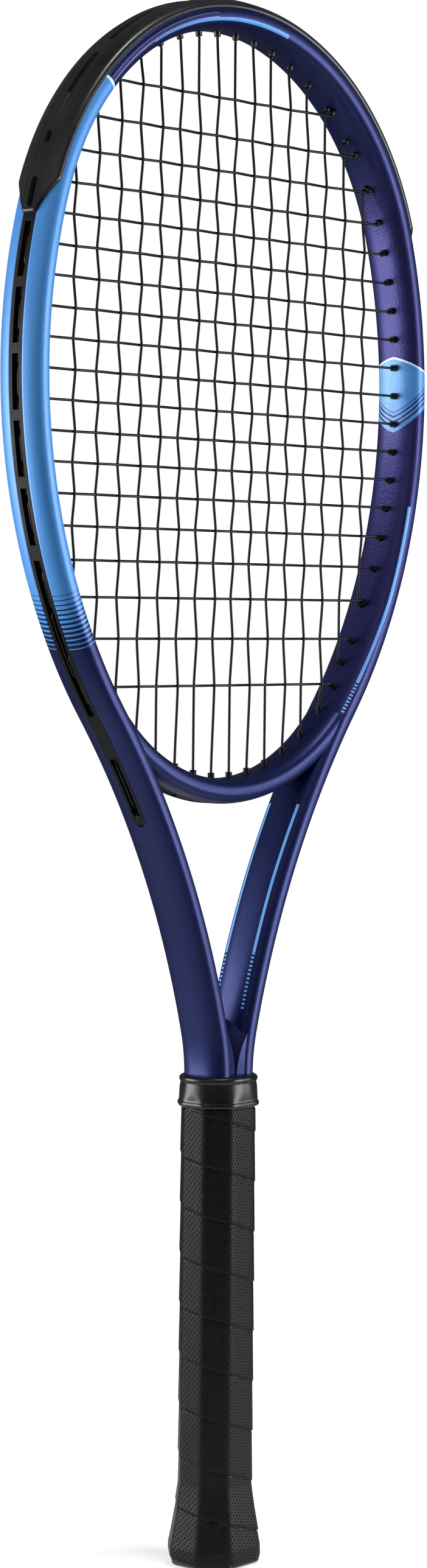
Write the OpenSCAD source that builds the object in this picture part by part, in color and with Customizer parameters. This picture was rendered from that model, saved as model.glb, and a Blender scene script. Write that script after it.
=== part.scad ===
// Tennis racket: hollow carbon frame with an open throat, a 16 by 19 string bed laced
// through grommets, and an octagonal handle with a wound grip and a rubber collar.
// It stands on its butt end. X lies in the plane of the strings, Y is normal to that
// plane with the front face towards -Y, and Z runs up the length of the racket.

/* [Head] */
// Radius of the arc over the top of the head, on the tube's centre line
head_top_r = 124; // [100:1:150]
// Radius of the side arcs of the head, on the tube's centre line
head_side_r = 237; // [200:1:290]
// Angle that each side arc turns above the widest point
side_turn = 18; // [14:0.5:22]
// Angle that each side arc turns below the widest point, which is the lean of the arms there
arm_lean = 37.8; // [35:0.2:42]

/* [Frame tube] */
// Thickness of the tube in the plane of the strings
tube_t = 12; // [10:0.5:14.5]
// Depth of the tube across the strings
tube_depth = 24; // [20:0.5:29]
// Wall of the hollow tube
tube_wall = 1.6; // [1.2:0.1:2]
// Width of the groove round the outside, which holds the grommet strips
groove_w = 7; // [5.5:0.5:8.5]
// Depth of that groove
groove_depth = 3; // [2.5:0.1:3.6]

/* [Throat and shaft] */
// Height at which the two arms start to part
shaft_top = 218; // [216:1:262]
// Half the distance between the centre lines of the two tubes in the shaft
shaft_half = 7.5; // [6:0.5:8]
// Radius of the first bend of the arms
root_r = 82; // [66:1:100]
// Angle that the first bend turns
root_turn = 14.5; // [10:0.5:18]
// Height of the fork between the arms, above the point where they part
fork_rise = 23; // [18:1:28]
// Depth by which the web between the tubes lies below their faces
web_inset = 1.5; // [0.5:0.5:3]
// Inner radius of the throat bridge
bridge_r = 100; // [84:1:120]
// Thickness of the throat bridge in the plane of the strings
bridge_t = 11.5; // [10:0.5:13]
// Depth of the throat bridge across the strings
bridge_depth = 21; // [17:0.5:25]
// Height at which the outer groove ends on the arms, above the fork
groove_end_rise = 93; // [80:1:100]

/* [String bed] */
// Diameter of the string
string_d = 1.3; // [1.1:0.05:1.4]
// Distance of a string's centre from the middle plane where two strings cross
weave_amp = 0.7; // [0.7:0.05:0.9]
// Distance between the two middle main strings, as a share of the head's inner half width
main_pitch = 0.0996; // [0.09:0.001:0.105]
// Share by which the outermost main spacing has opened up
main_spread = 0.00013; // [0:0.00001:0.0002]
// Distance between the middle cross strings, as a share of the head's inner height
cross_pitch = 0.0395; // [0.036:0.0005:0.042]
// Extra rise of the top cross string, as a share of the head's inner height
cross_open_top = 0.0235; // [0.01:0.0005:0.03]
// Extra drop of the bottom cross string, as a share of the head's inner height
cross_open_low = 0.053; // [0.03:0.001:0.06]

/* [Grommets and bumper] */
// Outer diameter of a grommet barrel
barrel_d = 3; // [2.6:0.1:3.4]
// Bore of a grommet barrel
barrel_bore = 1.8; // [1.6:0.1:2]
// Diameter of the sunk outer mouth of a grommet's bore
mouth_sink_d = 3.6; // [3:0.1:3.6]
// Length of barrel that stands out of the tube on the inside of the head
barrel_tip = 2.2; // [1:0.1:3]
// Thickness of the strip under the string loops
strip_floor = 1; // [0.8:0.1:1.2]
// Width of the slots that the string loops lie in
slot_w = 3.6; // [3.2:0.1:4.2]
// Thickness of the bumper over the tube
bumper_t = 1.7; // [1:0.1:2.5]
// Half the depth of the bumper across the strings
bumper_half = 10.4; // [8:0.1:11]

/* [Handle] */
// Width of the wrapped grip in the plane of the strings
grip_w = 33.6; // [31:0.2:38]
// Depth of the wrapped grip across the strings
grip_depth = 29.8; // [28:0.2:34]
// Size of the corner bevels of the grip
grip_bevel = 8.6; // [7:0.2:10]
// Thickness of the grip's strip
grip_t = 1.9; // [1.4:0.1:2.2]
// Height of the top of the handle's core
pallet_top = 209; // [190:1:212]
// Height of the flared butt
flare_h = 36; // [30:1:44]
// Share by which the butt is wider than the grip
flare_gain = 0.24; // [0.18:0.01:0.28]
// Wall of the butt cap's skirt
cap_wall = 1.3; // [1:0.1:1.6]
// Thickness of the butt cap's floor
cap_floor = 4; // [3:0.5:6]
// Width of the hollow carbon shank inside the handle
shank_w = 22; // [20:0.5:23]
// Depth of that shank
shank_depth = 19; // [16:0.5:20]

/* [Collar] */
// Length of the rubber collar
collar_l = 14; // [11:0.5:17]
// Length of the collar that covers the top of the grip
collar_lap = 4; // [3:0.5:5]
// Width of the collar in the plane of the strings
collar_w = 36; // [35.6:0.2:41]
// Depth of the collar across the strings
collar_depth = 32; // [31.8:0.2:37]
// Distance that the collar slides up the shaft
collar_travel = 14; // [5:1:14]

/* [Hidden] */

mains = 16;
crosses = 19;
fit = 0.05;            // clearance between parts that are seated on each other
slide_fit = 0.35;      // clearance round the sliding collar
over = 0.5;            // length by which a cut runs past the face it opens
slot_pad = 2.4;        // length by which a slot runs past the strings at its ends
band_l = 0.6;          // length of the bands that lap the joints of the tube's arcs
band_g = 0.02;         // height of those bands
lobe_power = 0.8;      // 1 gives an ellipse, and less gives a squarer tube
lobe_points = 20;      // corners of the tube's outline
string_sides = 6;      // sides of the string's solid

// Chain of tangent arcs, from the shaft up one arm and round the head.
// wide_x is the half width of the head, and the arm's radius closes the chain.
wide_x = head_side_r * (1 - cos(side_turn)) + head_top_r * cos(side_turn);
join_x = wide_x - head_side_r * (1 - cos(arm_lean));
root_x = shaft_half + root_r * (1 - cos(root_turn));
arm_r = (join_x - root_x) / (cos(root_turn) - cos(arm_lean));
root_z = shaft_top + root_r * sin(root_turn);
join_z = root_z + arm_r * (sin(arm_lean) - sin(root_turn));
wide_z = join_z + head_side_r * sin(arm_lean);
root_c = [shaft_half + root_r, shaft_top];
arm_c = [root_x + arm_r * cos(root_turn), root_z - arm_r * sin(root_turn)];
side_c = [wide_x - head_side_r, wide_z];
top_c = [0, wide_z + (head_side_r - head_top_r) * sin(side_turn)];
fork_z = shaft_top + fork_rise;

// The bridge's inner arc is tangent to the inner line of the head's sides.
bridge_c = [0, wide_z - sqrt(pow(head_side_r - tube_t / 2 - bridge_r, 2) - pow(side_c[0], 2))];
bridge_turn = atan2(-side_c[0], wide_z - bridge_c[1]) - 5;
bridge_mid_r = bridge_r + bridge_t / 2;

// Turn is the angle that a point's outward normal makes with +Z, counted on along the arm.
turn_side = 90 - side_turn;
turn_arm = 90 + arm_lean;
turn_root = turn_arm + arm_lean - root_turn;
groove_end_z = fork_z + groove_end_rise;
turn_groove = turn_arm + arm_lean - asin((groove_end_z - arm_c[1]) / arm_r);

// Point on the line that lies d outside the tube's centre line, at a given turn.
function rim(turn, d) =
    turn < turn_side ? top_c + (head_top_r + d) * [sin(turn), cos(turn)]
    : turn < turn_arm ? side_c + (head_side_r + d) * [sin(turn), cos(turn)]
    : let (lean = arm_lean + turn_arm - turn) arm_c + (arm_r - d) * [-cos(lean), sin(lean)];

// Grommets: the mouths lie on the string's own line, and the barrels run square to the tube.
groove_floor = tube_t / 2 - groove_depth;
slot_floor = groove_floor + fit + strip_floor;
loop_d = slot_floor + string_d / 2 + fit;
mouth_d = -tube_t / 2 - barrel_tip;
strip_gap = 0.1;       // turn left free at each end of a strip
tail_top = 6;          // turn over which the outer mains run on to their knots
tail_side = 2.4;       // the same for the two ends of the crosses
lead = 0.9;            // straight stretch of string in front of a grommet
steep = 6;             // distance from a grommet within which no string changes side
sink = 0.9;            // depth of the sunk mouth below the slot's floor
pin_root = 0.4;        // length of an upright barrel that is rooted in its strip
lead_d = mouth_d - lead;
top_mouth_r = head_top_r + lead_d;
side_mouth_r = head_side_r + lead_d;
lane = string_d / 2 + 0.1;   // mains lie on one side of the middle plane outside, crosses on the other

head_in_w = wide_x - tube_t / 2;
head_in_top = top_c[1] + head_top_r - tube_t / 2;
head_in_low = bridge_c[1] - bridge_r;
head_in_h = head_in_top - head_in_low;

// Distance of the k-th main from the middle, and height of the j-th cross from the top.
function main_x(k) = let (u = k - 0.5) head_in_w * (main_pitch * u + main_spread * pow(u, 3));
mid_cross = (crosses + 1) / 2;
function cross_z(j) = let (v = mid_cross - j, s = abs(v) / (mid_cross - 1))
    wide_z + head_in_h * (cross_pitch * v
        + (v > 0 ? cross_open_top * pow(s, 6) : -cross_open_low * pow(s, 5)));

// Turn of each grommet on the head's right half.
function main_top_turn(k) = asin(main_x(k) / top_mouth_r);
function cross_turn(j) = let (z = cross_z(j), s = (z - top_c[1]) / top_mouth_r)
    s > sin(side_turn) ? acos(s) : 90 - asin((z - wide_z) / side_mouth_r);
function main_low_turn(k) = 90 + acos((main_x(k) - side_c[0]) / side_mouth_r);
function main_arm_turn(k, d) =
    turn_arm + arm_lean - acos((arm_c[0] - main_x(k)) / (arm_r - d));

bridge_mains = 4;      // mains on each side that end at the bridge
arm_mains = 6;         // mains up to this one run straight down through the joint of bridge and arm
half_mains = mains / 2;
top_turns = [for (k = [1:half_mains]) main_top_turn(k)];
cross_turns = [for (j = [1:crosses]) cross_turn(j)];
low_turns = [for (k = [arm_mains + 1:half_mains]) main_low_turn(k)];
split_cross = len([for (t = cross_turns) if (t < turn_side) 1]);   // crosses in the bumper

// Loops of string outside the tube, as pairs of turns on one half of the head.
main_top_loops = [for (k = [2:2:half_mains - 1]) [top_turns[k - 1], top_turns[k]]];
main_low_loops = [
    [main_arm_turn(arm_mains - 1, loop_d), main_arm_turn(arm_mains, loop_d)],
    [low_turns[1], low_turns[0]]
];
main_finish = [top_turns[half_mains - 1], top_turns[half_mains - 1] + tail_top];
cross_start = [cross_turns[0], cross_turns[0] + tail_side];
cross_finish = [cross_turns[crosses - 1], cross_turns[crosses - 1] + tail_side];
middle_pad = 1.1;      // angle by which the middle slot runs past the middle mains
left_cross_loops = [for (j = [2:2:crosses - 1]) [cross_turns[j - 1], cross_turns[j]]];
right_cross_loops = [for (j = [1:2:crosses - 2]) [cross_turns[j - 1], cross_turns[j]]];

// ---- outlines -------------------------------------------------------------------------

function lobe(a, b) = [for (i = [0:lobe_points - 1])
    let (c = cos(i * 360 / lobe_points), s = sin(i * 360 / lobe_points))
    [a * sign(c) * pow(abs(c), lobe_power), b * sign(s) * pow(abs(s), lobe_power)]];

// Outline of the groove, grown by g, as a block that reaches past the tube's outer face.
module groove_2d(g = 0) {
    translate([groove_floor - g, -groove_w / 2 - g])
        square([groove_depth + bumper_t + 2 * over, groove_w + 2 * g]);
}

// Outline of the hollow tube, with its wall grown by g on both faces.
module tube_2d(grooved, g = 0) {
    difference() {
        polygon(lobe(tube_t / 2 + g, tube_depth / 2 + g));
        if (grooved) groove_2d(-g);
        difference() {
            polygon(lobe(tube_t / 2 - tube_wall - g, tube_depth / 2 - tube_wall - g));
            if (grooved) groove_2d(tube_wall + g);
        }
    }
}

module strip_2d(g = 0) {
    translate([groove_floor + fit - g, -groove_w / 2 + fit - g])
        square([groove_depth - 4 * fit + 2 * g, groove_w - 2 * fit + 2 * g]);
}

module slot_2d() {
    translate([slot_floor, -slot_w / 2])
        square([groove_depth + bumper_t + over, slot_w]);
}

module bumper_2d() {
    intersection() {
        difference() {
            polygon(lobe(tube_t / 2 + bumper_t, tube_depth / 2 + bumper_t));
            polygon(lobe(tube_t / 2 + fit, tube_depth / 2 + fit));
        }
        translate([0, -bumper_half]) square([tube_t, 2 * bumper_half]);
    }
    translate([groove_floor + fit, -groove_w / 2 + fit])
        square([groove_depth + bumper_t / 2, groove_w - 2 * fit]);
}

function oct(w, d, c) = [
    [w / 2, -d / 2 + c], [w / 2, d / 2 - c], [w / 2 - c, d / 2], [c - w / 2, d / 2],
    [-w / 2, d / 2 - c], [-w / 2, c - d / 2], [c - w / 2, -d / 2], [w / 2 - c, -d / 2]
];

// Solid through octagons: each ring is a height, a width, a depth and a bevel.
module oct_loft(rings) {
    points = [for (r = rings, p = oct(r[1], r[2], r[3])) [p[0], p[1], r[0]]];
    last = (len(rings) - 1) * 8;
    polyhedron(points, concat(
        [[for (i = [0:7]) i]],
        [[for (i = [7:-1:0]) last + i]],
        [for (k = [0:len(rings) - 2], i = [0:7]) let (n = (i + 1) % 8)
            [k * 8 + i, k * 8 + 8 + i, k * 8 + 8 + n, k * 8 + n]]
    ));
}

// ---- sweeps round the frame -----------------------------------------------------------

module at_centre(c, from) {
    translate([c[0], 0, c[1]]) rotate([90, 0, 0]) rotate([0, 0, from]) children();
}

// Sweeps an outline along the right half of the frame between two turns. The outline's
// x axis points out of the head.
module rim_sweep(a, b) {
    if (a < turn_side)
        let (e = min(b, turn_side))
            at_centre(top_c, 90 - e)
                rotate_extrude(angle = e - a, $fn = 96) translate([head_top_r, 0]) children();
    if (b > turn_side && a < turn_arm)
        let (s = max(a, turn_side), e = min(b, turn_arm))
            at_centre(side_c, 90 - e)
                rotate_extrude(angle = e - s, $fn = 160) translate([head_side_r, 0]) children();
    if (b > turn_arm)
        let (s = max(a, turn_arm))
            at_centre(arm_c, 180 - arm_lean - turn_arm + s)
                rotate_extrude(angle = b - s, $fn = 240)
                    translate([arm_r, 0]) mirror([1, 0]) children();
}

// Band across the joint of two sweeps. It laps both by a little, so they join soundly.
module side_band(turn) {
    at_centre(side_c, 90 - turn) translate([head_side_r, 0, 0]) rotate([90, 0, 0])
        linear_extrude(band_l, center = true) children();
}

module arm_band(turn) {
    at_centre(arm_c, 180 - arm_lean - turn_arm + turn) translate([arm_r, 0, 0]) rotate([90, 0, 0])
        linear_extrude(band_l, center = true) mirror([1, 0]) children();
}

module both_sides() {
    children();
    mirror([1, 0, 0]) children();
}

// Cylinder square to the tube at a given turn, from d0 to d1 out of the centre line.
module rim_pin(turn, y, d, d0, d1) {
    p = rim(turn, 0);
    translate([p[0], y, p[1]]) rotate([0, turn, 0]) translate([0, 0, d0])
        cylinder(h = d1 - d0, d = d, $fn = 24);
}

// Upright cylinder on the line of the k-th main, between two heights.
module main_pin(k, d, z0, z1) {
    translate([main_x(k), lane, z0]) cylinder(h = z1 - z0, d = d, $fn = 24);
}

// All the pins of one half of the head: those of the top arc, of the sides, and the upright
// ones that run through the joint of the bridge and the arm.
module top_pins(d, d0, d1) {
    for (t = top_turns) rim_pin(t, lane, d, d0, d1);
    for (j = [0:split_cross - 1]) rim_pin(cross_turns[j], -lane, d, d0, d1);
}

module side_pins(d, d0, d1) {
    for (j = [split_cross:crosses - 1]) rim_pin(cross_turns[j], -lane, d, d0, d1);
    for (t = low_turns) rim_pin(t, lane, d, d0, d1);
}

function arc_low_z(k, r) = bridge_c[1] - sqrt(r * r - pow(main_x(k), 2));
function arm_exit_z(k, d) = rim(main_arm_turn(k, d), d)[1];

module arm_pins(d, past_low, past_high) {
    for (k = [bridge_mains + 1:arm_mains])
        main_pin(k, d, arm_exit_z(k, groove_floor) - past_low, arc_low_z(k, bridge_r) + past_high);
}

module bridge_pins(d, past_low, past_high) {
    for (k = [1:bridge_mains])
        main_pin(k, d, arc_low_z(k, bridge_r + bridge_t / 2 + groove_floor) - past_low,
            arc_low_z(k, bridge_r) + past_high);
}

// ---- frame ----------------------------------------------------------------------------

module straight_tube(from, to) {
    translate([shaft_half, 0, from]) linear_extrude(to - from) tube_2d(false);
}

// Web that closes the gap between the two tubes below the fork.
module fork_web() {
    web_half = shaft_half - tube_t / 2 + tube_wall * 1.5;
    fork_half = rim_root_x(fork_z) - tube_t / 2;
    difference() {
        translate([-web_half, web_inset - tube_depth / 2, pallet_top])
            cube([2 * web_half, tube_depth - 2 * web_inset, fork_z - pallet_top]);
        translate([0, 0, fork_z]) rotate([90, 0, 0])
            cylinder(h = tube_depth + 2 * over, r = fork_half, center = true, $fn = 32);
    }
}

function rim_root_x(z) = root_c[0] - sqrt(pow(root_r, 2) - pow(z - shaft_top, 2));

module shank() {
    shank_low = cap_floor + 8;
    translate([0, 0, shank_low]) difference() {
        linear_extrude(pallet_top - shank_low) polygon(oct(shank_w, shank_depth, 4));
        translate([0, 0, -over]) linear_extrude(pallet_top - shank_low - 2 * tube_wall + over)
            polygon(oct(shank_w - 2 * tube_wall, shank_depth - 2 * tube_wall, 3));
    }
    // Wall that closes the tubes where they meet the shank
    translate([0, 0, pallet_top - tube_wall]) linear_extrude(2 * tube_wall)
        polygon(oct(shank_w, shank_depth, 4));
}

module frame_hairpin() color("midnightblue") {
    difference() {
        union() {
            rim_sweep(-turn_side, turn_side) tube_2d(true);
            both_sides() {
                rim_sweep(turn_side, turn_groove) tube_2d(true);
                rim_sweep(turn_groove, turn_root) tube_2d(false);
                at_centre(root_c, 180 - root_turn)
                    rotate_extrude(angle = root_turn, $fn = 96)
                        translate([root_r, 0]) mirror([1, 0]) tube_2d(false);
                straight_tube(pallet_top, shaft_top);
                side_band(turn_side) tube_2d(true, band_g);
                side_band(turn_arm) tube_2d(true, band_g);
                arm_band(turn_groove) tube_2d(false, band_g);
                arm_band(turn_root) tube_2d(false, band_g);
                translate([shaft_half, 0, shaft_top - band_l / 2])
                    linear_extrude(band_l) tube_2d(false, band_g);
            }
            fork_web();
            shank();
        }
        both_sides() {
            top_pins(barrel_d + 2 * fit, -tube_t, tube_t);
            side_pins(barrel_d + 2 * fit, -tube_t, tube_t);
            arm_pins(barrel_d + 2 * fit, tube_t, tube_t);
        }
    }
}

module bridge_2d() {
    difference() {
        polygon(lobe(bridge_t / 2, bridge_depth / 2));
        translate([groove_floor, -groove_w / 2]) square([bridge_t, groove_w]);
    }
}

module throat_bridge() color("midnightblue") {
    difference() {
        at_centre(bridge_c, 270 - bridge_turn)
            rotate_extrude(angle = 2 * bridge_turn, $fn = 96)
                translate([bridge_mid_r, 0]) bridge_2d();
        both_sides() {
            rim_sweep(turn_side + 20, turn_arm + 12)
                polygon(lobe(tube_t / 2 + fit, tube_depth / 2 + fit));
            bridge_pins(barrel_d + 2 * fit, bridge_t, bridge_t);
            arm_pins(barrel_d + 2 * fit, 0, bridge_t);
        }
    }
}

// ---- bumper and grommet strips --------------------------------------------------------

// Intervals sorted by their start, and those that overlap made into one.
function by_start(list) = len(list) < 2 ? list :
    let (p = list[0][0], rest = [for (i = [1:len(list) - 1]) list[i]])
    concat(by_start([for (s = rest) if (s[0] < p) s]), [list[0]],
        by_start([for (s = rest) if (s[0] >= p) s]));
function merged(list, done = []) = len(list) == 0 ? done :
    let (next = list[0], rest = [for (i = [1:1:len(list) - 1]) list[i]],
         last = len(done) > 0 ? done[len(done) - 1] : [-999, -998])
    next[0] > last[1] ? merged(rest, concat(done, [next]))
    : merged(rest, concat([for (i = [0:1:len(done) - 2]) done[i]],
        [[last[0], max(last[1], next[1])]]));

// Slots for the loops in a list, cut where the sweep lies between two turns.
module loop_slots(loops, from, to) {
    padded = [for (p = loops)
        let (pad = slot_pad * 180 / PI / (min(p) > turn_arm ? arm_r : head_top_r))
            [max(min(p) - pad, from), min(max(p) + pad, to)]];
    for (p = merged(by_start([for (p = padded) if (p[1] > p[0]) p])))
        rim_sweep(p[0], p[1]) slot_2d();
}

module bumper_guard() color("dimgray") {
    difference() {
        union() {
            rim_sweep(-turn_side, turn_side) bumper_2d();
            both_sides() top_pins(barrel_d, mouth_d, groove_floor + 2 * fit);
        }
        both_sides() {
            top_pins(barrel_bore, mouth_d - over, tube_t + bumper_t);
            top_pins(mouth_sink_d, slot_floor - sink, slot_floor + string_d);
        }
        rim_sweep(-top_turns[0] - middle_pad, top_turns[0] + middle_pad) slot_2d();
        loop_slots(concat(main_top_loops, right_cross_loops, [main_finish]), 10, turn_side);
        mirror([1, 0, 0])
            loop_slots(concat(main_top_loops, left_cross_loops, [cross_start, main_finish]),
                10, turn_side);
    }
}

module grommet_strip(cross_loops) {
    difference() {
        union() {
            rim_sweep(turn_side + strip_gap, turn_groove - strip_gap) strip_2d();
            side_band(turn_arm) strip_2d(band_g);
            side_pins(barrel_d, mouth_d, groove_floor + 2 * fit);
            arm_pins(barrel_d, pin_root, barrel_tip);
        }
        side_pins(barrel_bore, mouth_d - over, tube_t);
        side_pins(mouth_sink_d, slot_floor - sink, slot_floor + string_d);
        arm_pins(barrel_bore, tube_t, tube_t);
        for (k = [bridge_mains + 1:arm_mains])
            main_pin(k, mouth_sink_d, arm_exit_z(k, loop_d) - string_d,
                arm_exit_z(k, slot_floor - sink));
        loop_slots(concat(cross_loops, main_low_loops), turn_side, turn_groove - 4 * strip_gap);
    }
}

module grommet_strip_left() color("black") mirror([1, 0, 0])
    grommet_strip(left_cross_loops);

module grommet_strip_right() color("black") grommet_strip(
    concat(right_cross_loops, [cross_finish]));

// Strip under the bridge, with a slot for each pair of mains that turns there.
module throat_strip() color("black") {
    strip_turn = asin(main_x(bridge_mains) / bridge_r) + 1.5;
    difference() {
        union() {
            at_centre(bridge_c, 270 - strip_turn)
                rotate_extrude(angle = 2 * strip_turn, $fn = 96)
                    translate([bridge_mid_r + groove_floor + fit, -groove_w / 2 + fit])
                        square([bridge_t / 2 - groove_floor - 4 * fit, groove_w - 2 * fit]);
            both_sides() bridge_pins(barrel_d, pin_root, barrel_tip);
        }
        both_sides() {
            bridge_pins(barrel_bore, bridge_t, bridge_t);
            for (k = [1:bridge_mains])
                main_pin(k, mouth_sink_d, arc_low_z(k, bridge_mid_r + loop_d) - string_d,
                    arc_low_z(k, bridge_mid_r + slot_floor - sink));
            for (k = [1:2:bridge_mains - 1])
                let (a = asin(main_x(k) / bridge_mid_r) - 1.2,
                     b = asin(main_x(k + 1) / bridge_mid_r) + 1.2)
                    at_centre(bridge_c, 270 + a)
                        rotate_extrude(angle = b - a, $fn = 96)
                            translate([bridge_mid_r + slot_floor, -slot_w / 2])
                                square([bridge_t, slot_w]);
        }
    }
}

// ---- strings --------------------------------------------------------------------------

function unit(v) = v / norm(v);
function rim3(side, turn, d, y) = let (p = rim(turn, d)) [side * p[0], y, p[1]];

// Points of a loop that leaves the tube at one turn and enters it at another.
bend = 1.1;            // distance from a corner at which the string starts to turn
function loop_pts(side, a, b, y) =
    let (step = bend * 180 / PI / head_top_r * sign(b - a), pa = a + step, pb = b - step)
    [for (i = [0:4]) rim3(side, pa + (pb - pa) * i / 4, loop_d, y)];

// Path of one string end, from the mouth of its barrel out to the loop.
function end_pts(side, turn, y) =
    [rim3(side, turn, lead_d, y), rim3(side, turn, loop_d - bend, y)];
function upright_pts(side, k, z_mouth, z_out) =
    [[side * main_x(k), lane, z_mouth + lead], [side * main_x(k), lane, z_out + bend]];
function bridge_rim(side, a, y) = let (r = bridge_mid_r + loop_d)
    [side * r * sin(a), y, bridge_c[1] - r * cos(a)];
function bridge_loop(side, ka, kb) =
    let (r = bridge_mid_r + loop_d, a = asin(main_x(ka) / r), b = asin(main_x(kb) / r),
         step = bend * 180 / PI / r * sign(b - a))
    [for (i = [0:3]) bridge_rim(side, a + step + (b - a - 2 * step) * i / 3, lane)];
function reversed(list) = [for (i = [len(list) - 1:-1:0]) list[i]];

// +1 where a main passes behind a cross, -1 where it passes in front. Mains are counted
// from the left, crosses from the top. Close to a grommet the main stays behind, since both
// strings leave their grommets on that side.
function over_under(side, k, j) =
    near_mouth(k, j) ? 1 : (main_number(side, k) + j) % 2 == 1 ? -1 : 1;
function main_number(side, k) = half_mains + (side > 0 ? k : 1 - k);
function near_mouth(k, j) = let (p = rim(cross_turns[j - 1], lead_d))
    p[0] - main_x(k) < steep || main_top_end(1, k)[0][2] - cross_z(j) < steep
    || cross_z(j) - main_low_end(1, k)[0][2] < steep;

// Top and bottom end of one main, each from the mouth outwards.
function main_top_end(side, k) = end_pts(side, top_turns[k - 1], lane);
function main_low_end(side, k) =
    k <= bridge_mains ? upright_pts(side, k, arc_low_z(k, bridge_r) + barrel_tip,
        arc_low_z(k, bridge_mid_r + loop_d))
    : k <= arm_mains ? upright_pts(side, k, arc_low_z(k, bridge_r) + barrel_tip,
        arm_exit_z(k, loop_d))
    : end_pts(side, low_turns[k - arm_mains - 1], lane);

function main_down(side, k) = concat(
    reversed(main_top_end(side, k)),
    [for (j = [1:crosses]) if (crosses_main(k, j))
        [side * main_x(k), weave_amp * over_under(side, k, j), cross_z(j)]],
    main_low_end(side, k));

// A cross is met only where the main has left its top grommet and not yet reached the lower.
function crosses_main(k, j) =
    cross_z(j) < main_top_end(1, k)[0][2] - 1 && cross_z(j) > main_low_end(1, k)[0][2] + 1;

function main_low_loop(side, k) =
    k < bridge_mains ? bridge_loop(side, k, k + 1)
    : k < arm_mains ? loop_pts(side, main_arm_turn(k, loop_d), main_arm_turn(k + 1, loop_d), lane)
    : loop_pts(side, low_turns[0], low_turns[1], lane);

// Half of the mains, from the middle outwards: down, across at the bottom, up, across at the top.
function main_half(side) = [for (k = [1:half_mains])
    each k % 2 == 1
        ? concat(main_down(side, k), main_low_loop(side, k))
        : concat(reversed(main_down(side, k)),
            k < half_mains
                ? loop_pts(side, top_turns[k - 1], top_turns[k], lane)
                : loop_pts(side, top_turns[k - 1], top_turns[k - 1] + tail_top, lane))];

main_path = concat(
    reversed(main_half(-1)),
    loop_pts(1, -top_turns[0], top_turns[0], lane),
    main_half(1));

function cross_across(j) = let (last = [for (k = [half_mains:-1:1]) if (crosses_main(k, j)) k],
        most = last[0])
    concat(
        reversed(end_pts(1, cross_turns[j - 1], -lane)),
        [for (k = [most:-1:1]) cross_pt(1, k, j)],
        [for (k = [1:most]) cross_pt(-1, k, j)],
        end_pts(-1, cross_turns[j - 1], -lane));
function cross_pt(side, k, j) =
    [side * main_x(k), -weave_amp * over_under(side, k, j), cross_z(j)];

cross_path = concat(
    loop_pts(-1, cross_turns[0] + tail_side, cross_turns[0], -lane),
    [for (j = [1:crosses]) each j % 2 == 1
        ? concat(reversed(cross_across(j)), loop_pts(1, cross_turns[j - 1],
            j < crosses ? cross_turns[j] : cross_turns[j - 1] + tail_side, -lane))
        : concat(cross_across(j), loop_pts(-1, cross_turns[j - 1], cross_turns[j], -lane))]);

// Closed tube along a path, with its rings square to the path.
module string_tube(path) {
    n = len(path);
    s = string_sides;
    tangent = [for (i = [0:n - 1]) unit(
        (i < n - 1 ? unit(path[i + 1] - path[i]) : [0, 0, 0])
        + (i > 0 ? unit(path[i] - path[i - 1]) : [0, 0, 0]))];
    points = [for (i = [0:n - 1])
        let (side_way = unit(cross(tangent[i], [0, 1, 0])), up_way = cross(side_way, tangent[i]))
        for (a = [0:s - 1])
            path[i] + string_d / 2 * (cos(a * 360 / s) * up_way + sin(a * 360 / s) * side_way)];
    polyhedron(points, concat(
        [[for (a = [0:s - 1]) a]],
        [[for (a = [s - 1:-1:0]) (n - 1) * s + a]],
        [for (i = [0:n - 2], a = [0:s - 1]) let (b = (a + 1) % s)
            [i * s + a, i * s + s + a, i * s + s + b, i * s + b]]
    ));
}

module main_string() color("black") string_tube(main_path);

module cross_string() color("black") string_tube(cross_path);

// ---- handle ---------------------------------------------------------------------------

pallet_w = grip_w - 2 * grip_t;
pallet_depth = grip_depth - 2 * grip_t;
pallet_bevel = grip_bevel - grip_t * (2 - sqrt(2));
plug_w = pallet_w - 2 * cap_wall;
plug_depth = pallet_depth - 2 * cap_wall;
plug_bevel = pallet_bevel - cap_wall * (2 - sqrt(2));
flare_low = 8;         // height below which the butt keeps its full width
flare_steps = 5;
grip_low = 3;          // height of the lower edge of the wound grip
grip_top = pallet_top;
collar_low = grip_top - collar_lap;
collar_top = collar_low + collar_l;

// Width of the butt at a height, as a share of the straight handle's.
function flare(z) = 1 + flare_gain * pow(max(0, flare_h - max(z, flare_low)) / (flare_h - flare_low), 1.2);
function flare_ring(z, shrink) = let (f = flare(z))
    [z, grip_w * f - 2 * shrink, grip_depth * f - 2 * shrink, grip_bevel * f - shrink * (2 - sqrt(2))];
flare_zs = [for (i = [0:flare_steps]) flare_low + (flare_h - flare_low) * i / flare_steps];

module handle_pallet() color("wheat") {
    shank_gap = 2 * fit;
    difference() {
        union() {
            translate([0, 0, cap_floor + fit]) linear_extrude(flare_h - cap_floor)
                polygon(oct(plug_w - 2 * fit, plug_depth - 2 * fit, plug_bevel));
            translate([0, 0, flare_h + fit]) linear_extrude(pallet_top - flare_h - 2 * fit)
                polygon(oct(pallet_w - 2 * fit, pallet_depth - 2 * fit, pallet_bevel));
        }
        translate([0, 0, cap_floor + 8 - fit]) linear_extrude(pallet_top)
            polygon(oct(shank_w + shank_gap, shank_depth + shank_gap, 4));
        staple_legs(fit);
        tack_legs(fit);
    }
}

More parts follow.
